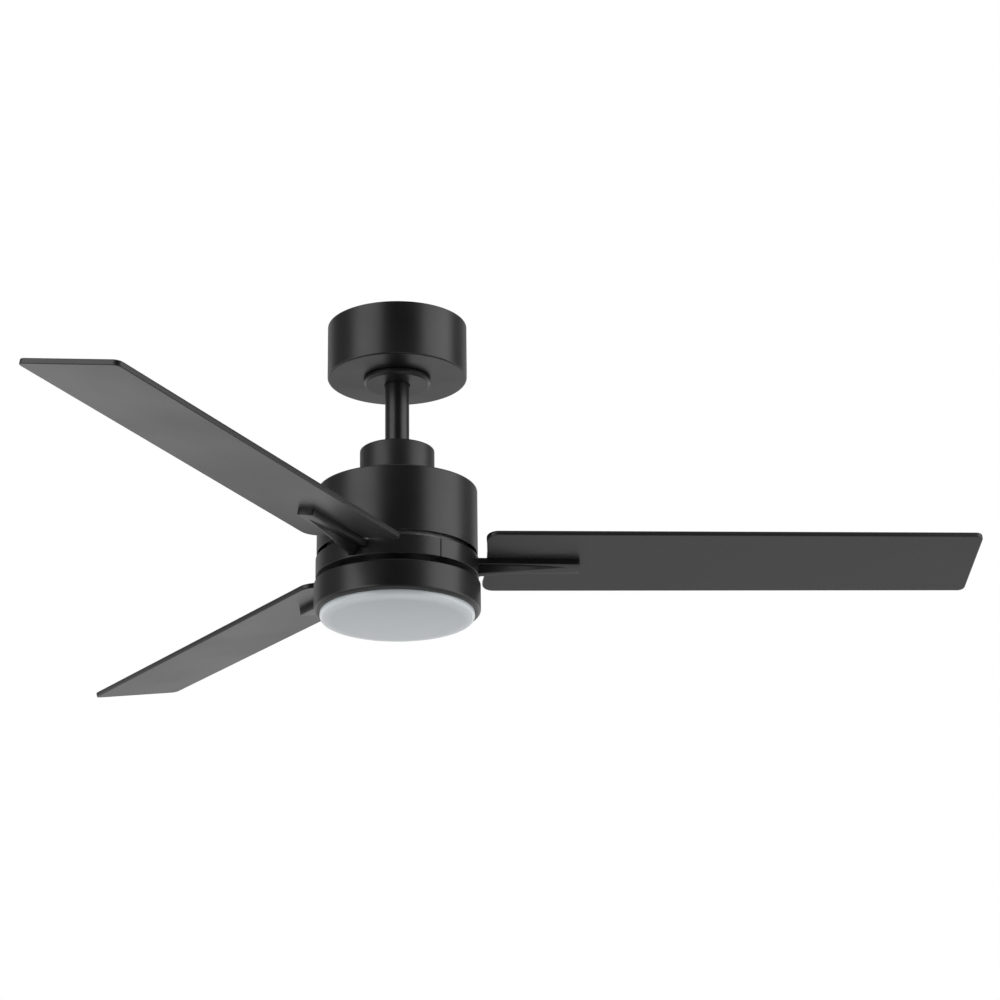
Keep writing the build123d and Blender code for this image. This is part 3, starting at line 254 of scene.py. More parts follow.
black = (0.0068, 0.0068, 0.0072)
coats = {
    "canopy_coat": (black, 0.36, 0.0011, 0.000006),
    "housing_coat": (black, 0.36, 0.0011, 0.000006),
    "cup_coat": ((0.0078, 0.0078, 0.0082), 0.44, 0.0011, 0.000006),
    "rod_coat": (black, 0.34, 0.0010, 0.000005),
    "pan_coat": (black, 0.36, 0.0011, 0.000006),
    "iron_coat": ((0.008, 0.008, 0.0085), 0.32, 0.0012, 0.000012),
    "trim_plastic": ((0.009, 0.009, 0.0095), 0.40, 0.0006, 0.000004),
    "band_coat": ((0.008, 0.008, 0.0085), 0.33, 0.0006, 0.000004),
    "ball_nylon": ((0.03, 0.03, 0.03), 0.5, 0.0008, 0.00001),
    "grommet_rubber": ((0.02, 0.02, 0.02), 0.75, 0.0005, 0.00001),
    "receiver_plastic": ((0.7, 0.7, 0.67), 0.45, 0.0007, 0.00001),
    "plug_plastic": ((0.75, 0.74, 0.68), 0.4, 0.001, 0.000005),
    "black_screws": ((0.015, 0.015, 0.015), 0.35, 0.0004, 0.000004),
    "earth_screw": ((0.03, 0.22, 0.07), 0.35, 0.0006, 0.000005),
    "board_white": ((0.72, 0.73, 0.72), 0.4, 0.002, 0.000004),
    "led_yellow": ((0.82, 0.66, 0.10), 0.35, 0.0008, 0.00001),
}
finishes = {name: coat(name, *values) for name, values in coats.items()}
print(len(finishes), "coats and mouldings")

# %% [markdown]
# The blades are plywood wrapped in a matte printed film. It is nearly plain: only a faint grain
# runs along the blade, much longer than it is wide. The grain has to follow each blade, and the
# blades point three ways, so it reads the blade's own UV map, which is laid out in metres. The
# blade's edge is a strip of its own on that map, ten metres up, and is painted a deeper black:
# painted shade that darkens the edges.

# %% The blades' film
painted_shade_strip = 10.0


def blade_film(name):
    """Matte black film with a faint grain that runs along the blade."""
    material, tree, out = new_material(name)
    place = add(tree, "ShaderNodeUVMap", uv_map="film").outputs[0]
    along = add(tree, "ShaderNodeMapping", {"Vector": place, "Scale": (9.0, 420.0, 1.0)})
    grain = add(tree, "ShaderNodeTexNoise", {"Vector": along.outputs[0], "Scale": 1.0, "Detail": 4.0,
                                             "Roughness": 0.6})
    clouds = add(tree, "ShaderNodeTexNoise", {"Vector": place, "Scale": 7.0, "Detail": 2.0})
    film = mix(tree, grain.outputs[0], (0.020, 0.020, 0.0206), (0.026, 0.026, 0.0268))
    sides = add(tree, "ShaderNodeSeparateXYZ", {0: place})
    # painted shade: the edge strip of the UV map is painted a deeper black than the film
    in_painted_shade = maths(tree, "GREATER_THAN", sides.outputs[1], painted_shade_strip / 2)
    tint = mix(tree, in_painted_shade, film, (0.006, 0.006, 0.0063))
    rough = add(tree, "ShaderNodeMapRange", {0: clouds.outputs[0], 1: 0.3, 2: 0.7, 3: 0.36, 4: 0.42})
    bump = add(tree, "ShaderNodeBump", {"Height": grain.outputs[0], "Distance": 0.000012, "Strength": 1.0})
    surface(tree, out, {"Base Color": tint, "Roughness": rough.outputs[0], "Normal": bump.outputs[0]})
    return material


finishes["blade_finish"] = blade_film("blade_finish")

# %% [markdown]
# The lens is opal acrylic: white pigment all through it scatters the light, and its outside is
# satin. Seen unlit it is a pale, slightly cool grey. Over the middle the dark inside of the lamp
# shows through a little; near the rim the colour is painted paler, painted light for the light
# that enters the rim from the side. A little subsurface scattering softens the shading.

# %% The opal lens
rim_starts, rim_ends = 72.0 * MM, 87.5 * MM


def opal(name):
    """Milky acrylic with a satin skin."""
    material, tree, out = new_material(name)
    place = add(tree, "ShaderNodeTexCoord").outputs["Object"]
    cloud = add(tree, "ShaderNodeTexNoise", {"Vector": place, "Scale": 22.0, "Detail": 2.0})
    middle = mix(tree, cloud.outputs[0], (0.483, 0.515, 0.535), (0.500, 0.532, 0.552))
    flat = add(tree, "ShaderNodeVectorMath", {0: place, 1: (1.0, 1.0, 0.0)}, operation="MULTIPLY")
    out_from_axis = add(tree, "ShaderNodeVectorMath", {0: flat.outputs[0]}, operation="LENGTH")
    # painted light: the lens colour is painted paler towards its rim
    painted_light_rim = ramp(tree, out_from_axis.outputs["Value"], rim_starts, rim_ends)
    tint = mix(tree, painted_light_rim, middle, (0.66, 0.70, 0.72))
    rough = add(tree, "ShaderNodeMapRange", {0: cloud.outputs[0], 3: 0.20, 4: 0.25})
    skin = add(tree, "ShaderNodeTexNoise", {"Vector": place, "Scale": 1200.0, "Detail": 1.0})
    bump = add(tree, "ShaderNodeBump", {"Height": skin.outputs[0], "Distance": 0.000003, "Strength": 1.0})
    surface(tree, out, {
        "Base Color": tint, "Roughness": rough.outputs[0], "Normal": bump.outputs[0],
        "Subsurface Weight": 0.15, "Subsurface Radius": (0.004, 0.004, 0.004), "Subsurface Scale": 1.0})
    return material


finishes["opal"] = opal("opal")

# %% [markdown]
# The inner pieces are bare or plated metal. Brushed and turned metal carry scratches much longer
# than wide; castings are grainy; a laminated core is a stack of thin sheets, so it has a line
# every half millimetre of its height.

# %% Bare metals
def metal(name, colour, gloss, scratch, depth=0.000008):
    """Metal with a grain: the scratch scale per axis sets which way it runs."""
    material, tree, out = new_material(name)
    place = add(tree, "ShaderNodeTexCoord").outputs["Object"]
    stretched = add(tree, "ShaderNodeMapping", {"Vector": place, "Scale": scratch})
    grain = add(tree, "ShaderNodeTexNoise", {"Vector": stretched.outputs[0], "Scale": 1.0, "Detail": 3.0})
    light, dark = [tuple(value * share for value in colour) for share in (1.08, 0.86)]
    tint = mix(tree, grain.outputs[0], dark, light)
    rough = add(tree, "ShaderNodeMapRange", {0: grain.outputs[0], 3: gloss - 0.07, 4: gloss + 0.07})
    bump = add(tree, "ShaderNodeBump", {"Height": grain.outputs[0], "Distance": depth, "Strength": 1.0})
    surface(tree, out, {"Base Color": tint, "Metallic": 1.0, "Roughness": rough.outputs[0],
                        "Normal": bump.outputs[0]})
    return material


metals = {
    "bracket_steel": ((0.60, 0.61, 0.62), 0.34, (90.0, 900.0, 900.0)),
    "plated_screws": ((0.66, 0.65, 0.60), 0.26, (700.0, 700.0, 700.0)),
    "cast_metal": ((0.55, 0.55, 0.56), 0.52, (500.0, 500.0, 500.0), 0.00003),
    "shaft_steel": ((0.58, 0.58, 0.58), 0.24, (60.0, 60.0, 2500.0)),
    "core_steel": ((0.20, 0.20, 0.21), 0.45, (20.0, 20.0, 2000.0), 0.00003),
    "magnet": ((0.09, 0.09, 0.095), 0.6, (900.0, 900.0, 900.0), 0.00002),
    "copper": ((0.80, 0.33, 0.14), 0.3, (300.0, 300.0, 1600.0), 0.00004),
}
for name, values in metals.items():
    finishes[name] = metal(name, *values)
print(len(metals), "bare metals")

# %% The leads
def leads_finish(name):
    """Four insulated leads: the side of the axis that each one runs on sets its colour."""
    material, tree, out = new_material(name)
    place = add(tree, "ShaderNodeTexCoord").outputs["Object"]
    sides = add(tree, "ShaderNodeSeparateXYZ", {0: place})
    right, back = [maths(tree, "GREATER_THAN", side, 0.0) for side in sides.outputs[:2]]
    front_pair = mix(tree, right, (0.02, 0.02, 0.02), (0.75, 0.75, 0.72))
    back_pair = mix(tree, right, (0.02, 0.09, 0.4), (0.02, 0.25, 0.06))
    tint = mix(tree, back, front_pair, back_pair)
    grain = add(tree, "ShaderNodeTexNoise", {"Vector": place, "Scale": 900.0})
    rough = add(tree, "ShaderNodeMapRange", {0: grain.outputs[0], 3: 0.3, 4: 0.4})
    surface(tree, out, {"Base Color": tint, "Roughness": rough.outputs[0]})
    return material


finishes["lead_sleeve"] = leads_finish("lead_sleeve")

# %% Every CAD node gets the finish of its slot
slots = {part["node"]: part["material_slot"] for part in frame["record"]["subparts"]}
for name, piece in nodes.items():
    piece.data.materials.clear()
    piece.data.materials.append(finishes[slots[name]])
print(len(slots), "CAD nodes have a finish")

# %% [markdown]
# Every drum of this fan is a turned shape: one outline carried around the fan's axis. So one
# Geometry Nodes tree makes them all. It takes an outline drawn in the XZ plane, carries it along
# a straight line, closes the ends if the ring will be open, bends the line round the axis, and
# copies the result around it if asked. Corners are rounded in the outline itself, with a holding
# point beside each arc, so that the shading of a flat face stays flat right up to its edge.

# %% Outlines with rounded corners
def rounded(corners, steps=5, hold=0.0, closed=True, steady=False):
    """The points of an outline through (x, y, radius) corners, each corner rounded by an arc.

    A steady outline has as many points for a sharp corner as for a round one."""
    points = []
    count = len(corners)
    for index, (x, y, radius) in enumerate(corners):
        here = Vector((x, y))
        at_end = not closed and index in (0, count - 1)
        if radius == 0 or at_end:
            points += [here] * (steps + 1 if steady else 1)
            continue
        back = (Vector(corners[index - 1][:2]) - here).normalized()
        ahead = (Vector(corners[(index + 1) % count][:2]) - here).normalized()
        half = back.angle(ahead) / 2
        cut = radius / math.tan(half)
        centre = here + (back + ahead).normalized() * radius / math.sin(half)
        start, end = here + back * cut - centre, here + ahead * cut - centre
        if hold:
            points.append(here + back * (cut + hold))
        sweep = start.angle_signed(end)
        for step in range(steps + 1):
            points.append(centre + Matrix.Rotation(-sweep * step / steps, 2) @ start)
        if hold:
            points.append(here + ahead * (cut + hold))
    return points


square = [(0, 0, 1), (9, 0, 1), (9, 9, 1), (0, 9, 1)]
print(len(rounded(square)), "points for a square with four round corners")

# %% The turning tree
def new_tree(name, sockets):
    """A geometry tree with named inputs; returns the tree, its input and its output node."""
    tree = bpy.data.node_groups.new(name, "GeometryNodeTree")
    tree.interface.new_socket("Geometry", in_out="INPUT", socket_type="NodeSocketGeometry")
    for label, kind in sockets:
        tree.interface.new_socket(label, in_out="INPUT", socket_type="NodeSocket" + kind)
    tree.interface.new_socket("Geometry", in_out="OUTPUT", socket_type="NodeSocketGeometry")
    return tree, add(tree, "NodeGroupInput"), add(tree, "NodeGroupOutput")


def shaded(tree, geometry, limit):
    """Smooth faces, with a crease wherever two faces meet more sharply than the limit."""
    smooth = add(tree, "GeometryNodeSetShadeSmooth",
                 {"Geometry": geometry, "Shade Smooth": True}, domain="FACE")
    angle = add(tree, "GeometryNodeInputMeshEdgeAngle").outputs["Unsigned Angle"]
    crease = add(tree, "FunctionNodeCompare", {0: angle, 1: limit}, operation="GREATER_THAN")
    return add(tree, "GeometryNodeSetShadeSmooth",
               {"Geometry": smooth.outputs[0], "Selection": crease.outputs[0], "Shade Smooth": False},
               domain="EDGE").outputs[0]


weld_within = 0.002 * MM
crease_limit = math.radians(28.0)


def copied(tree, given, result, seats, piece, turn):
    """Ends a tree: a copy of the piece on every seat, in the finish that the tree is given."""
    copies = add(tree, "GeometryNodeInstanceOnPoints", {"Points": seats, "Instance": piece, "Rotation": turn})
    real = add(tree, "GeometryNodeRealizeInstances", {0: copies.outputs[0]})
    coated = add(tree, "GeometryNodeSetMaterial",
                 {"Geometry": real.outputs[0], "Material": given.outputs["Finish"]})
    tree.links.new(coated.outputs[0], result.inputs[0])


turning, given, result = new_tree("turned_piece", [
    ("Start", "Float"), ("Sweep", "Float"), ("Steps", "Int"), ("Capped", "Bool"), ("Copies", "Int"),
    ("Crease", "Float"), ("Finish", "Material")])
outline = add(turning, "GeometryNodeMeshToCurve", {0: given.outputs["Geometry"]})
spot = add(turning, "ShaderNodeSeparateXYZ", {0: add(turning, "GeometryNodeInputPosition").outputs[0]})
down = maths(turning, "MULTIPLY", spot.outputs[2], -1.0)
laid = add(turning, "ShaderNodeCombineXYZ", {0: spot.outputs[0], 1: down})
profile = add(turning, "GeometryNodeSetPosition", {0: outline.outputs[0], "Position": laid.outputs[0]})
line = add(turning, "GeometryNodeCurvePrimitiveLine", {"Start": (0.0, 0.0, 0.0), "End": (0.0, 1.0, 0.0)})
path = add(turning, "GeometryNodeResampleCurve", {"Curve": line.outputs[0], "Count": given.outputs["Steps"]})
carried = add(turning, "GeometryNodeCurveToMesh", {
    "Curve": path.outputs[0], "Profile Curve": profile.outputs[0], "Fill Caps": given.outputs["Capped"]})
gone = maths(turning, "MULTIPLY", spot.outputs[1], given.outputs["Sweep"])
angle = maths(turning, "ADD", gone, given.outputs["Start"])
bent = [maths(turning, "MULTIPLY", maths(turning, kind, angle), spot.outputs[0])
        for kind in ("COSINE", "SINE")]
ringed = add(turning, "ShaderNodeCombineXYZ", {0: bent[0], 1: bent[1], 2: spot.outputs[2]})
ring = add(turning, "GeometryNodeSetPosition", {0: carried.outputs[0], "Position": ringed.outputs[0]})
welded = add(turning, "GeometryNodeMergeByDistance", {"Geometry": ring.outputs[0], "Distance": weld_within})
smooth = shaded(turning, welded.outputs[0], given.outputs["Crease"])
seats = add(turning, "GeometryNodePoints", {"Count": given.outputs["Copies"]})
number = add(turning, "GeometryNodeInputIndex").outputs[0]
turn = maths(turning, "MULTIPLY", maths(turning, "DIVIDE", number, given.outputs["Copies"]), math.tau)
upright = add(turning, "ShaderNodeCombineXYZ", {2: turn})
turn = add(turning, "FunctionNodeEulerToRotation", {0: upright.outputs[0]})
copied(turning, given, result, seats.outputs[0], smooth, turn.outputs[0])


def grow_mesh(holder, tree, values):
    """Runs a tree on an object and leaves the result there as its own plain mesh."""
    modifier = holder.modifiers.new("shape", "NODES")
    modifier.node_group = tree
    for item in tree.interface.items_tree:
        if item.in_out == "INPUT" and item.name in values:
            modifier[item.identifier] = values[item.name]
    graph = bpy.context.evaluated_depsgraph_get()
    mesh = bpy.data.meshes.new_from_object(holder.evaluated_get(graph), depsgraph=graph)
    holder.modifiers.remove(modifier)
    holder.data = mesh
    mesh.name = holder.name
    return holder


def outward(piece):
    """Turns the faces of a closed mesh outwards if they point in, and says how big it is."""
    bm = bmesh.new()
    bm.from_mesh(piece.data)
    if bm.calc_volume(signed=True) < 0:
        bmesh.ops.reverse_faces(bm, faces=bm.faces)
        bm.to_mesh(piece.data)
    open_edges = sum(1 for edge in bm.edges if len(edge.link_faces) != 2)
    volume = bm.calc_volume(signed=True) / (10 * MM) ** 3
    print(f"{piece.name}: {len(bm.faces)} faces, {open_edges} open edges, {volume:.1f} cm3")
    bm.free()
    return piece


around_steps = 161


def turned(name, points, finish, start=0.0, sweep=360.0, steps=around_steps, copies=1, closed=True):
    """A piece turned from an outline of (radius, height) points, whole or as part of a ring."""
    bm = bmesh.new()
    corners = [bm.verts.new((point[0], 0.0, point[1])) for point in points]
    for first, second in zip(corners, corners[1:] + corners[:1] if closed else corners[1:]):
        bm.edges.new((first, second))
    holder = finish_object(name, bm)
    grow_mesh(holder, turning, {
        "Start": math.radians(start), "Sweep": math.radians(sweep), "Steps": steps, "Capped": sweep < 360,
        "Copies": copies, "Crease": crease_limit, "Finish": finishes[finish]})
    return outward(holder)


# %% [markdown]
# The canopy, the cup over the coupling and the motor's housing are three deep-drawn drums. Each
# is a thin wall with one closed end that has a hole for the rod or shaft, and a soft edge where
# the sheet was drawn over the die. Their radius and heights are read from the frame.

# %% The drums
hold = 0.4 * MM
rim_round = 0.25 * MM


def extent(node):
    """A node's radius, lowest and highest point."""
    low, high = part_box(node)
    return high.x, low.z, high.z


def drum(name, node, wall, edge, hole, open_above, finish, lip_round=rim_round):
    """A drum with one open end; edge is the radius of the closed end's outer edge."""
    radius, low, high = extent(node)
    inner = radius - wall
    flip = 1 if open_above else -1
    shut, lip = (low, high) if open_above else (high, low)
    corners = [(hole, shut, rim_round), (radius, shut, edge), (radius, lip, lip_round),
               (inner, lip, rim_round), (inner, shut + flip * wall, max(edge - wall, rim_round)),
               (hole, shut + flip * wall, rim_round)]
    piece = turned(name, rounded(corners, hold=hold), finish)
    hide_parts(node)
    return piece


rod_radius = extent("downrod")[0]
canopy_shell = drum("canopy_shell", "canopy", 1.2 * MM, 1.9 * MM, rod_radius + 5.0 * MM, True, "canopy_coat")
cup_shell = drum("cup_shell", "coupling_cover", 1.2 * MM, 1.6 * MM, rod_radius + 0.5 * MM, False, "cup_coat")
housing_shell = drum("housing_shell", "motor_housing", 1.4 * MM, 2.0 * MM, 12.0 * MM, False, "housing_coat",
                     lip_round=0.8 * MM)
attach(canopy_shell, "ceiling_mount")
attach(cup_shell, "hanging_frame")
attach(housing_shell, "hanging_frame")

# %% [markdown]
# The trim ring under the canopy is moulded: a neck leaves a shadow groove below the canopy, then
# comes the ring itself with a bevelled lower edge and a hole with room for the rod to swing. The
# downrod is a plain pipe.

# %% Trim ring and downrod
trim_neck_height = 0.8 * MM
trim_neck_step = 2.4 * MM
trim_wall = 1.5 * MM
trim_bevel = 2.6 * MM
trim_rod_gap = 1.0 * MM

trim_radius, trim_low, _ = extent("canopy_trim_ring")
trim_high = extent("canopy")[1]
trim_neck = trim_radius - trim_neck_step
trim_inner = trim_neck - trim_wall
trim_hole = rod_radius + trim_rod_gap
trim_floor = trim_low + trim_wall
neck_low = trim_high - trim_neck_height
trim_ring = turned("trim_ring", rounded([
    (trim_hole, trim_low, rim_round), (trim_radius - trim_bevel, trim_low, 0.5 * MM),
    (trim_radius, trim_low + trim_bevel, 0.5 * MM), (trim_radius, neck_low, 0.4 * MM),
    (trim_neck, neck_low, 0), (trim_neck, trim_high, 0), (trim_inner, trim_high, 0),
    (trim_inner, trim_floor + trim_bevel, 0), (trim_inner - trim_bevel, trim_floor, 0),
    (trim_hole, trim_floor, rim_round)], hold=hold), "trim_plastic")
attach(trim_ring, "ceiling_mount")
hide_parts("canopy_trim_ring")

rod_wall = 2.5 * MM
_, rod_low, rod_high = extent("downrod")
rod_pipe = turned("rod_pipe", rounded([
    (rod_radius - rod_wall, rod_low, rim_round), (rod_radius, rod_low, rim_round),
    (rod_radius, rod_high, rim_round), (rod_radius - rod_wall, rod_high, rim_round)], hold=hold), "rod_coat")
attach(rod_pipe, "hanging_frame")
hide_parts("downrod")

# %% [markdown]
# The light's pan is a drum with a narrow lip turned in around the lens, and a soft radius at both
# of its edges. The lens is a shallow dome with a rounded rim and a neck that twists into the pan.
# Its outline starts and ends on the axis, where the tree welds the turned points into one pole.

# %% The light's pan
pan_wall = 2.0 * MM
pan_top_edge = 1.2 * MM
pan_bottom_edge = 4.6 * MM
lens_gap = 0.3 * MM
pan_hole = 17.0 * MM
pan_lip_round = 0.9 * MM

pan_radius, pan_low, pan_high = extent("light_pan")
_, lens_low, neck_top = extent("lens")
lens_radius = -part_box("lens")[0].x
lip_inner = lens_radius + lens_gap
pan_inner = pan_radius - pan_wall
pan_shell = turned("pan_shell", rounded([
    (lip_inner, pan_low, pan_lip_round), (pan_radius, pan_low, pan_bottom_edge),
    (pan_radius, pan_high, pan_top_edge), (pan_hole, pan_high, 0),
    (pan_hole, pan_high - pan_wall, 0), (pan_inner, pan_high - pan_wall, 0),
    (pan_inner, pan_low + pan_wall, pan_bottom_edge - pan_wall), (lip_inner, pan_low + pan_wall, rim_round)],
    steps=8, hold=hold), "pan_coat")
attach(pan_shell, "hanging_frame")
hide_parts("light_pan")

# %% The lens
lens_wall = 2.2 * MM
lens_edge = 5.0 * MM
lens_dome = 3.2 * MM
shoulder = pan_low + 5.5 * MM
neck_radius = lens_radius - 3.45 * MM
dome_steps = 10


def dome(radius, low, going_out):
    """Points of a shallow dome from the axis to a corner, the corner left out."""
    ball = (radius ** 2 + lens_dome ** 2) / (2 * lens_dome)
    points = []
    for step in range(dome_steps):
        out = radius * step / dome_steps
        points.append((out, low + ball - math.sqrt(ball ** 2 - out ** 2), 0))
    return points if going_out else points[::-1]


lens_inner = lens_radius - lens_wall
inner_low = lens_low + lens_wall
lens_corners = dome(lens_radius, lens_low, True) + [
    (lens_radius, lens_low + lens_dome, lens_edge), (lens_radius, shoulder, rim_round),
    (neck_radius, shoulder, 0), (neck_radius, neck_top, rim_round),
    (neck_radius - lens_wall, neck_top, rim_round), (neck_radius - lens_wall, shoulder - lens_wall, 0),
    (lens_inner, shoulder - lens_wall, 0),
    (lens_inner, inner_low + lens_dome, lens_edge - lens_wall)] + dome(lens_inner, inner_low, False)
opal_lens = turned("opal_lens", rounded(lens_corners, steps=8, closed=False), "opal", closed=False)
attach(opal_lens, "lens")
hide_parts("lens")

# %% The lens's three tabs
tab_reach = 3.1 * MM
tab_height = 2.0 * MM
tab_angle = 14.0
tab_inner = neck_radius - lens_wall / 2
lens_tabs = turned("lens_tabs", rounded([
    (tab_inner, neck_top - tab_height, 0), (neck_radius + tab_reach, neck_top - tab_height, rim_round),
    (neck_radius + tab_reach, neck_top, rim_round), (tab_inner, neck_top, 0)]),
    "opal", start=90 - tab_angle / 2, sweep=tab_angle, steps=8, copies=3)
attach(lens_tabs, "lens")

# %% [markdown]
# Blades and irons share one frame: x runs out along the blade, y across it, and z up out of its
# face. The frame starts on the band, rises a hair and is pitched by twelve degrees, and the three
# blades are the same frame turned about the fan's axis.

# %% The blades' own frame
blade_count = 3
pitch = math.radians(12.0)
rise = math.radians(0.43)
blade_below_band_top = 2.6 * MM
band_radius = max(math.hypot(*vertex.co[:2]) for vertex in nodes["hub_band_1"].data.vertices)
_, band_low, band_high = extent("hub_band_1")


def to_blade(number):
    """The turn about the fan's axis from blade 1 to blade 1, 2 or 3."""
    return Matrix.Rotation(math.tau * (number - 1) / blade_count, 4, "Z")


def blade_frame(number):
    """The matrix of blade 1, 2 or 3."""
    out = Matrix.Translation((band_radius, 0.0, band_high - blade_below_band_top))
    return to_blade(number) @ out @ Matrix.Rotation(-rise, 4, "Y") @ Matrix.Rotation(-pitch, 4, "X")


def skin(rings, name, matrix, finish):
    """A closed mesh through rings of points: quads between rings, one face at each end."""
    bm = bmesh.new()
    rows = [[bm.verts.new(matrix @ Vector(point)) for point in ring] for ring in rings]
    for lower, upper in zip(rows, rows[1:]):
        for index in range(len(lower)):
            after = (index + 1) % len(lower)
            bm.faces.new((lower[index], lower[after], upper[after], upper[index])).smooth = True
    for ring in (rows[0][::-1], rows[-1]):
        bm.faces.new(ring)
    bmesh.ops.remove_doubles(bm, verts=bm.verts, dist=weld_within)
    bmesh.ops.dissolve_degenerate(bm, edges=bm.edges, dist=weld_within / 2)
    bmesh.ops.recalc_face_normals(bm, faces=bm.faces)
    piece = finish_object(name, bm)
    piece.data.materials.append(finishes[finish])
    return piece


print("blade 1 starts at", [round(value / MM, 1) for value in blade_frame(1).translation])

# %% [markdown]
# A blade is a flat board, so it is built from its outline: round corners at the tip, larger ones
# and a shallow hollow at the root, and a small radius where its faces meet its edge. Rings of
# that outline, shrunk along a quarter circle, make the edge. Its two big faces stay flat-shaded.

# %% The blades
blade_length = 657.0 * MM - band_radius
root_gap = 5.1 * MM
root_hollow = 4.0 * MM
root_half = 62.9 * MM
tip_half = 60.5 * MM
thickness = 6.0 * MM
root_corner = 13.0 * MM
tip_corner = 8.0 * MM
board_edge = 1.2 * MM
edge_steps = 4
hollow_steps = 6


def blade_outline():
    """The blade seen from above, in its own frame."""
    corners = [(root_gap, -root_half, root_corner), (blade_length, -tip_half, tip_corner),
               (blade_length, tip_half, tip_corner), (root_gap, root_half, root_corner)]
    arc = (root_half ** 2 + root_hollow ** 2) / (2 * root_hollow)
    for step in range(1, hollow_steps):
        across = root_half * (1 - 2 * step / hollow_steps)
        corners.append((root_gap + root_hollow - arc + math.sqrt(arc ** 2 - across ** 2), across, 0))
    return rounded(corners, steps=10)


def shrunk(points, inset):
    """An outline moved inwards; it runs counterclockwise."""
    inner = []
    for index, point in enumerate(points):
        way = (points[(index + 1) % len(points)] - points[index - 1]).normalized()
        inner.append(point + Vector((-way.y, way.x)) * inset)
    return inner


def blade(number):
    """A board with rounded edges and a UV map in metres for its grain."""
    outline = blade_outline()
    rings = []
    for face_height, sign in ((0.0, 1), (thickness, -1)):
        quarter = []
        for step in range(edge_steps + 1):
            angle = math.pi / 2 * step / edge_steps
            height = face_height + sign * board_edge * (1 - math.cos(angle))
            ring = shrunk(outline, board_edge * (1 - math.sin(angle)))
            quarter.append([(point.x, point.y, height) for point in ring])
        rings += quarter if sign > 0 else quarter[::-1]
    piece = skin(rings, f"blade_board_{number}", Matrix.Identity(4), "blade_finish")
    film = piece.data.uv_layers.new(name="film")
    for face in piece.data.polygons:
        # painted shade: faces that are not flat go to the edge strip, which is painted a deeper black
        strip = 0.0 if abs(face.normal.z) > 0.7 else painted_shade_strip
        for index in face.loop_indices:
            spot = piece.data.vertices[piece.data.loops[index].vertex_index].co
            film.data[index].uv = (spot.x + number, spot.y + strip)
    piece.data.transform(blade_frame(number))
    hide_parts(f"blade_{number}")
    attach(piece, "rotor")
    outward(piece)


for number in range(1, blade_count + 1):
    blade(number)

# %% [markdown]
# A blade iron is a casting: a flat bar that the blade is screwed to, and under it a rib that is
# deep at the band and runs out to nothing near the bar's end. Each cross-section is the same ring
# of points, so the iron is a skin over a few sections along its length. A flat plate carries it
# inside the band.

# %% The irons' sizes
iron_length = 114.0 * MM
iron_root_half = 12.5 * MM
iron_end_half = 10.5 * MM
iron_thickness = 7.5 * MM
iron_edge = 1.0 * MM
iron_inner = -10.6 * MM
iron_corner = 2.5 * MM
rib_start = -4.0 * MM
rib_end = 98.0 * MM
rib_depth = 10.0 * MM
rib_low_side = -10.0 * MM
rib_high_side = 3.0 * MM
rib_point = -4.0 * MM
rib_draft = 2.6 * MM
smallest_round = 0.05 * MM
end_steps = 5
plate_inner = 29.0 * MM
plate_inner_round = 5.0 * MM
plate_outer = 87.9 * MM
plate_outer_round = 0.5 * MM
plate_half = 15.0 * MM
plate_thickness = 6.0 * MM


# %% The irons' sections
def mixed_value(start, end, share):
    """The value that lies this share of the way from start to end."""
    return start + (end - start) * share


def iron_section(x, half, grow, top, rib_shows, edge):
    """One ring of the iron at x: the bar above, the rib below. A grown ring is the notch's."""
    share = min(max((x - rib_start) / (rib_end - rib_start), 0.0), 1.0)
    low = -iron_thickness - grow
    left = mixed_value(rib_low_side, rib_point, share) - grow * (1 - share)
    right = mixed_value(rib_high_side, rib_point, share) + grow * (1 - share)
    draft = rib_draft * (1 - share)
    depth = rib_depth * (1 - x / rib_end) * rib_shows
    soft = min(edge, depth * 0.4, (right - left) * 0.15)
    soft = soft if soft > smallest_round else 0
    corners = [(-half, top, 0), (-half, low, edge), (left, low, 0), (left + draft, low - depth, soft),
               (right - draft, low - depth, soft), (right, low, 0), (half, low, edge), (half, top, 0)]
    return [(x, point.x, point.y) for point in rounded(corners, steps=3, steady=True)]


def iron_rings(grow, top, inner):
    """The iron's sections from inside the band to its rounded end."""
    end = iron_length + grow
    edge = iron_edge if grow == 0 else 0

    def half_at(x):
        return mixed_value(iron_root_half, iron_end_half, max(x, 0.0) / iron_length) + grow

    rings = [iron_section(x, half_at(x), grow, top, 0.0, edge) for x in (inner, rib_start)]
    rings += [iron_section(x, half_at(x), grow, top, 1.0, edge) for x in (rib_start, 0.0, rib_end)]
    for step in range(end_steps):
        angle = math.pi / 2 * step / end_steps
        x = end - iron_corner * (1 - math.sin(angle))
        rings.append(iron_section(x, half_at(x) - iron_corner * (1 - math.cos(angle)), grow, top, 0.0, edge))
    return rings


# %% Joining and cutting
def settle(piece):
    """Replaces a piece's mesh by what its modifiers make of it, and removes them."""
    graph = bpy.context.evaluated_depsgraph_get()
    piece.data = bpy.data.meshes.new_from_object(piece.evaluated_get(graph), depsgraph=graph)
    piece.modifiers.clear()


def combined(piece, other, operation):
    """Joins another closed mesh to a piece, or cuts it out of the piece, and drops the other."""
    change = piece.modifiers.new("change", "BOOLEAN")
    change.operation = operation
    change.object = other
    change.solver = "EXACT"
    settle(piece)
    bpy.data.objects.remove(other)


def creased(piece):
    """Smooth shading with a crease where faces meet more sharply than the limit."""
    piece.data.set_sharp_from_angle(angle=crease_limit)


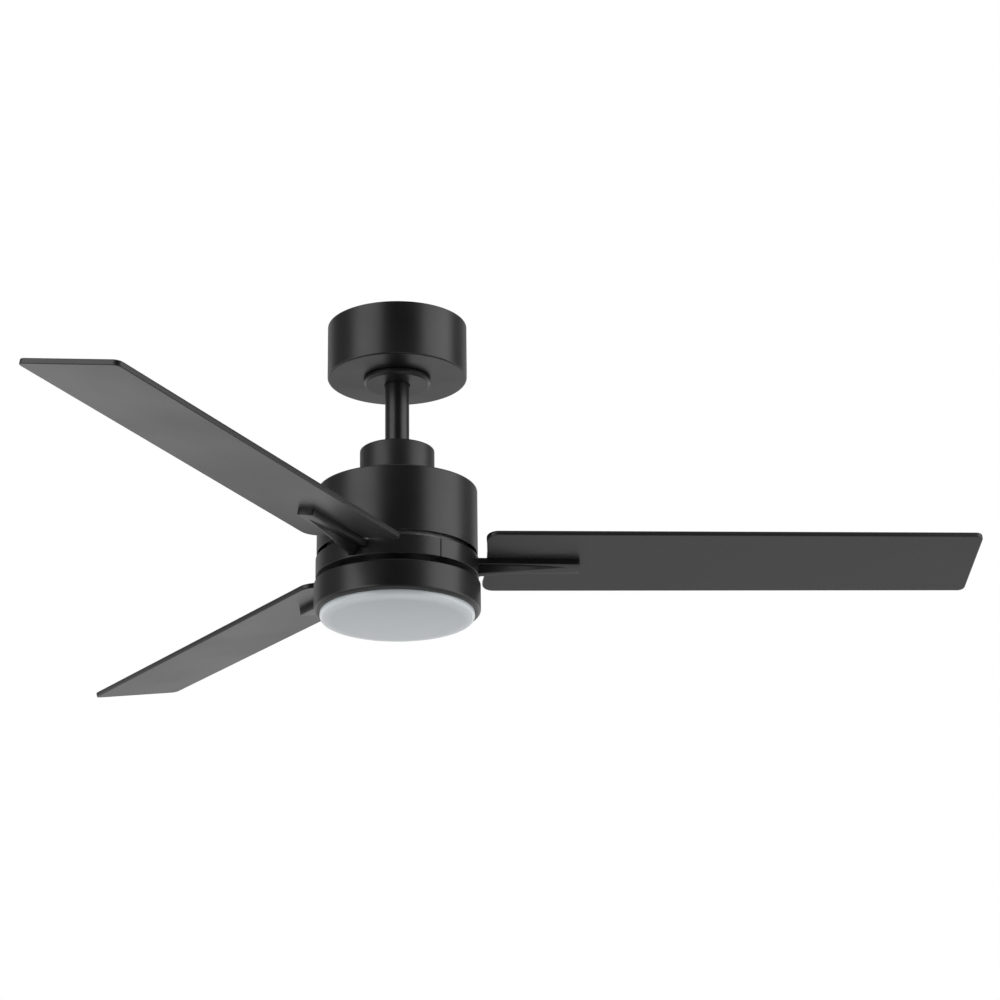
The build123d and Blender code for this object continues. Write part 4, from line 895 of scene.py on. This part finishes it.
# %% The irons
def iron(number):
    """The arm in the blade's frame and its plate inside the band."""
    arm = skin(iron_rings(0.0, 0.0, iron_inner), f"iron_arm_{number}", blade_frame(number), "iron_coat")
    hub_low = extent("blade_hub")[1]
    outline = rounded([
        (plate_inner, -plate_half, plate_inner_round), (plate_outer, -plate_half, plate_outer_round),
        (plate_outer, plate_half, plate_outer_round), (plate_inner, plate_half, plate_inner_round)])
    rings = [[(point.x, point.y, height) for point in outline]
             for height in (hub_low - plate_thickness, hub_low)]
    plate = skin(rings, f"iron_plate_{number}", to_blade(number), "iron_coat")
    combined(arm, plate, "UNION")
    creased(arm)
    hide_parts(f"blade_iron_{number}")
    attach(arm, "rotor")
    outward(arm)


for number in range(1, blade_count + 1):
    iron(number)

# %% [markdown]
# The turning band is moulded in three parts, so that it can be taken off around the irons. Each
# third is the turning tree run over part of a ring, with a notch cut where the iron comes out,
# open to the top, and two posts for the screws that hold it under the hub. A tongue at one end
# reaches behind the next third, so the seam between them looks black, not hollow. The edges are
# softened last, because a cut through soft edges can leave the mesh open.

# %% The band's sizes
band_wall = 2.0 * MM
band_floor_hole = 38.0 * MM
band_low_round = 0.6 * MM
band_high_round = 0.4 * MM
band_soft_edge = 0.6 * MM
band_steps = 65
third_angle = 360.0 / blade_count
seam_half = 0.7 * MM
seam_angle = math.degrees(seam_half / band_radius)
seam_tongue = 1.5 * MM
seam_overlap = 4.0 * MM
fit_gap = 0.1 * MM
tongue_outer = band_radius - band_wall - fit_gap
notch_gap = 0.9 * MM
notch_top = 20.0 * MM
post_circle = 66.0 * MM
post_angle = 38.0
post_radius = 4.5 * MM
post_bore = 1.75 * MM
post_steps = 24
sunk = 1.0 * MM


# %% The band's thirds
def pillar(name, radius, low, high, angle):
    """A plain cylinder on the posts' circle, at an angle around the axis."""
    turns = [math.tau * step / post_steps for step in range(post_steps)]
    rings = [[(post_circle + radius * math.cos(turn), radius * math.sin(turn), height) for turn in turns]
             for height in (low, high)]
    return skin(rings, name, Matrix.Rotation(math.radians(angle), 4, "Z"), "band_coat")


def seam_strip(name, outer, low, middle, last):
    """Part of the tongue behind the seam at a third's end; last is how far it goes past the seam."""
    high = band_high - band_wall
    inner = tongue_outer - seam_tongue
    corners = [(inner, low, 0), (outer, low, 0), (outer, high, 0), (inner, high, 0)]
    start = middle + third_angle / 2 - math.degrees(seam_overlap / band_radius)
    sweep = math.degrees((last + seam_overlap) / band_radius)
    return turned(name, rounded(corners), "band_coat", start=start, sweep=sweep, steps=9)


def band_third(number):
    """A third of the band, cut around its iron."""
    middle = third_angle * (number - 1)
    half = third_angle / 2 - seam_angle
    floor_top = band_low + band_wall
    outline = rounded([
        (band_floor_hole, band_low, 0), (band_radius, band_low, band_low_round),
        (band_radius, band_high, band_high_round), (band_radius - band_wall, band_high, band_high_round),
        (band_radius - band_wall, floor_top, 0), (band_floor_hole, floor_top, 0)], hold=hold)
    piece = turned(f"band_third_{number}", outline, "band_coat", start=middle - half, sweep=2 * half,
                   steps=band_steps)
    notch = skin(iron_rings(notch_gap, notch_top, 2 * iron_inner), "notch", blade_frame(number), "band_coat")
    combined(piece, notch, "DIFFERENCE")
    root = seam_strip("root", tongue_outer + 4 * fit_gap, floor_top - sunk / 2, middle, -2 * seam_half)
    combined(piece, root, "UNION")
    tongue = seam_strip("tongue", tongue_outer, floor_top + fit_gap, middle, seam_overlap)
    combined(piece, tongue, "UNION")
    hub_low = extent("blade_hub")[1]
    for angle in (middle - post_angle, middle + post_angle):
        combined(piece, pillar("post", post_radius, floor_top - sunk, hub_low, angle), "UNION")
        combined(piece, pillar("bore", post_bore, band_low - sunk, hub_low + sunk, angle), "DIFFERENCE")
    soften = piece.modifiers.new("soften", "BEVEL")
    soften.width = band_soft_edge
    soften.segments = 2
    soften.limit_method = "ANGLE"
    soften.angle_limit = math.radians(50.0)
    settle(piece)
    creased(piece)
    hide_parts(f"hub_band_{number}")
    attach(piece, "rotor")
    outward(piece)


for number in range(1, blade_count + 1):
    band_third(number)

# %% [markdown]
# The same cross-recess screw holds the blades, the irons, the band and the canopy. Geometry Nodes
# puts one on every seat: a seat is a small triangle, the screw stands on its middle and points
# along its normal. The head is an ellipsoid cut flat, with two crossed slots sunk into it. One
# slot is a hair deeper than the other, so that their floors don't lie in one plane.

# %% The screw tree
head_overlap = 0.3 * MM
head_swell = 1.06
slot_long = 1.2
slot_wide = 0.26
second_slot_deeper = 1.04
screwing, given, result = new_tree("pan_head_screws", [
    ("Shank Radius", "Float"), ("Length", "Float"), ("Head Radius", "Float"), ("Head Height", "Float"),
    ("Crease", "Float"), ("Finish", "Material")])


def moved(geometry, height, size=(1.0, 1.0, 1.0)):
    """Moves a shape along the screw's axis and stretches it."""
    shift = add(screwing, "ShaderNodeCombineXYZ", {2: height})
    return add(screwing, "GeometryNodeTransform",
               {"Geometry": geometry, "Translation": shift.outputs[0], "Scale": size}).outputs[0]


head_radius, head_height = given.outputs["Head Radius"], given.outputs["Head Height"]
ball = add(screwing, "GeometryNodeMeshUVSphere", {"Segments": 32, "Rings": 20, "Radius": 1.0})
wide = maths(screwing, "MULTIPLY", head_radius, head_swell)
stretch = add(screwing, "ShaderNodeCombineXYZ", {0: wide, 1: wide, 2: head_height})
ball = moved(ball.outputs[0], 0.0, stretch.outputs[0])
puck = add(screwing, "GeometryNodeMeshCylinder", {
    "Vertices": 32, "Radius": head_radius, "Depth": maths(screwing, "MULTIPLY", head_height, 2.0)})
head = add(screwing, "GeometryNodeMeshBoolean", {"Mesh 2": ball}, operation="INTERSECT")
screwing.links.new(moved(puck.outputs[0], head_height), head.inputs["Mesh 2"])
shank_length = maths(screwing, "ADD", given.outputs["Length"], head_overlap)
shank = add(screwing, "GeometryNodeMeshCylinder", {
    "Vertices": 20, "Radius": given.outputs["Shank Radius"], "Depth": shank_length})
shank_middle = maths(screwing, "SUBTRACT", head_overlap, maths(screwing, "MULTIPLY", shank_length, 0.5))
body = add(screwing, "GeometryNodeMeshBoolean", {"Mesh 2": head.outputs[0]}, operation="UNION")
screwing.links.new(moved(shank.outputs[0], shank_middle), body.inputs["Mesh 2"])
arm, slit = [maths(screwing, "MULTIPLY", head_radius, share) for share in (slot_long, slot_wide)]
carve = add(screwing, "GeometryNodeMeshBoolean", {"Mesh 1": body.outputs[0]}, operation="DIFFERENCE")
for across, along, deep in ((arm, slit, 1.0), (slit, arm, second_slot_deeper)):
    tall = maths(screwing, "MULTIPLY", head_height, deep)
    slot_size = add(screwing, "ShaderNodeCombineXYZ", {0: across, 1: along, 2: tall})
    slot = add(screwing, "GeometryNodeMeshCube", {"Size": slot_size.outputs[0]})
    screwing.links.new(moved(slot.outputs[0], head_height), carve.inputs["Mesh 2"])
clean = add(screwing, "GeometryNodeMergeByDistance", {"Geometry": carve.outputs[0], "Distance": 0.00001})
screw = shaded(screwing, clean.outputs[0], given.outputs["Crease"])
seats = add(screwing, "GeometryNodeMeshToPoints", {0: given.outputs["Geometry"]}, mode="FACES")
normal = add(screwing, "GeometryNodeSampleIndex", {
    "Geometry": given.outputs["Geometry"], "Value": add(screwing, "GeometryNodeInputNormal").outputs[0],
    "Index": add(screwing, "GeometryNodeInputIndex").outputs[0]}, data_type="FLOAT_VECTOR", domain="FACE")
stand = add(screwing, "FunctionNodeAlignRotationToVector", {"Vector": normal.outputs[0]}, axis="Z")
copied(screwing, given, result, seats.outputs[0], screw, stand.outputs[0])
print(len(screwing.nodes), "nodes make a screw")

# %% The screws
seat_corners = [(1.0 * MM, 0.0, 0.0), (-0.5 * MM, 0.866 * MM, 0.0), (-0.5 * MM, -0.866 * MM, 0.0)]


def screws(name, node, body_name, places, sizes):
    """One object with a screw on every place; a place is a matrix whose z points out of the head.

    The sizes are the shank's radius and length and the head's radius and height, in millimetres."""
    bm = bmesh.new()
    for place in places:
        bm.faces.new([bm.verts.new(place @ Vector(corner)) for corner in seat_corners])
    holder = finish_object(name, bm)
    shank_radius, length, head, height = [value * MM for value in sizes]
    grow_mesh(holder, screwing, {
        "Shank Radius": shank_radius, "Length": length, "Head Radius": head, "Head Height": height,
        "Crease": math.radians(30.0), "Finish": finishes[slots[node]]})
    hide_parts(node)
    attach(holder, body_name)
    outward(holder)


def around(radius, height, angles):
    """Places on a circle about the axis, all at one height and facing down."""
    flip = Matrix.Rotation(math.pi, 4, "X")
    return [Matrix.Rotation(math.radians(angle), 4, "Z") @ Matrix.Translation((radius, 0, height)) @ flip
            for angle in angles]


blade_screw_outward = (20.0, 52.0, 84.0)
blade_places = [blade_frame(number) @ Matrix.Translation((root_gap + outwards * MM, 0, thickness))
                for number in range(1, blade_count + 1) for outwards in blade_screw_outward]
screws("blade_screw_set", "blade_screws", "rotor", blade_places, (2.4, 12.0, 5.0, 2.4))

iron_screw_radii = (40.0 * MM, post_circle)
plate_low = extent("blade_hub")[1] - plate_thickness
thirds = [third_angle * number for number in range(blade_count)]
iron_places = [place for radius in iron_screw_radii for place in around(radius, plate_low, thirds)]
screws("iron_screw_set", "iron_screws", "rotor", iron_places, (2.5, 12.0, 4.4, 3.0))

band_angles = [angle + side for angle in thirds for side in (-post_angle, post_angle)]
band_places = around(post_circle, band_low, band_angles)
screws("band_screw_set", "band_screws", "rotor", band_places, (1.7, 23.0, 3.4, 2.2))

canopy_screw_head = 3.8
canopy_screw_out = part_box("canopy_screws")[1].x - canopy_screw_head * MM
canopy_places = around(canopy_screw_out, extent("canopy")[1], (0.0, 180.0))
screws("canopy_screw_set", "canopy_screws", "ceiling_mount", canopy_places,
       (2.0, 8.0, canopy_screw_head, 2.6))
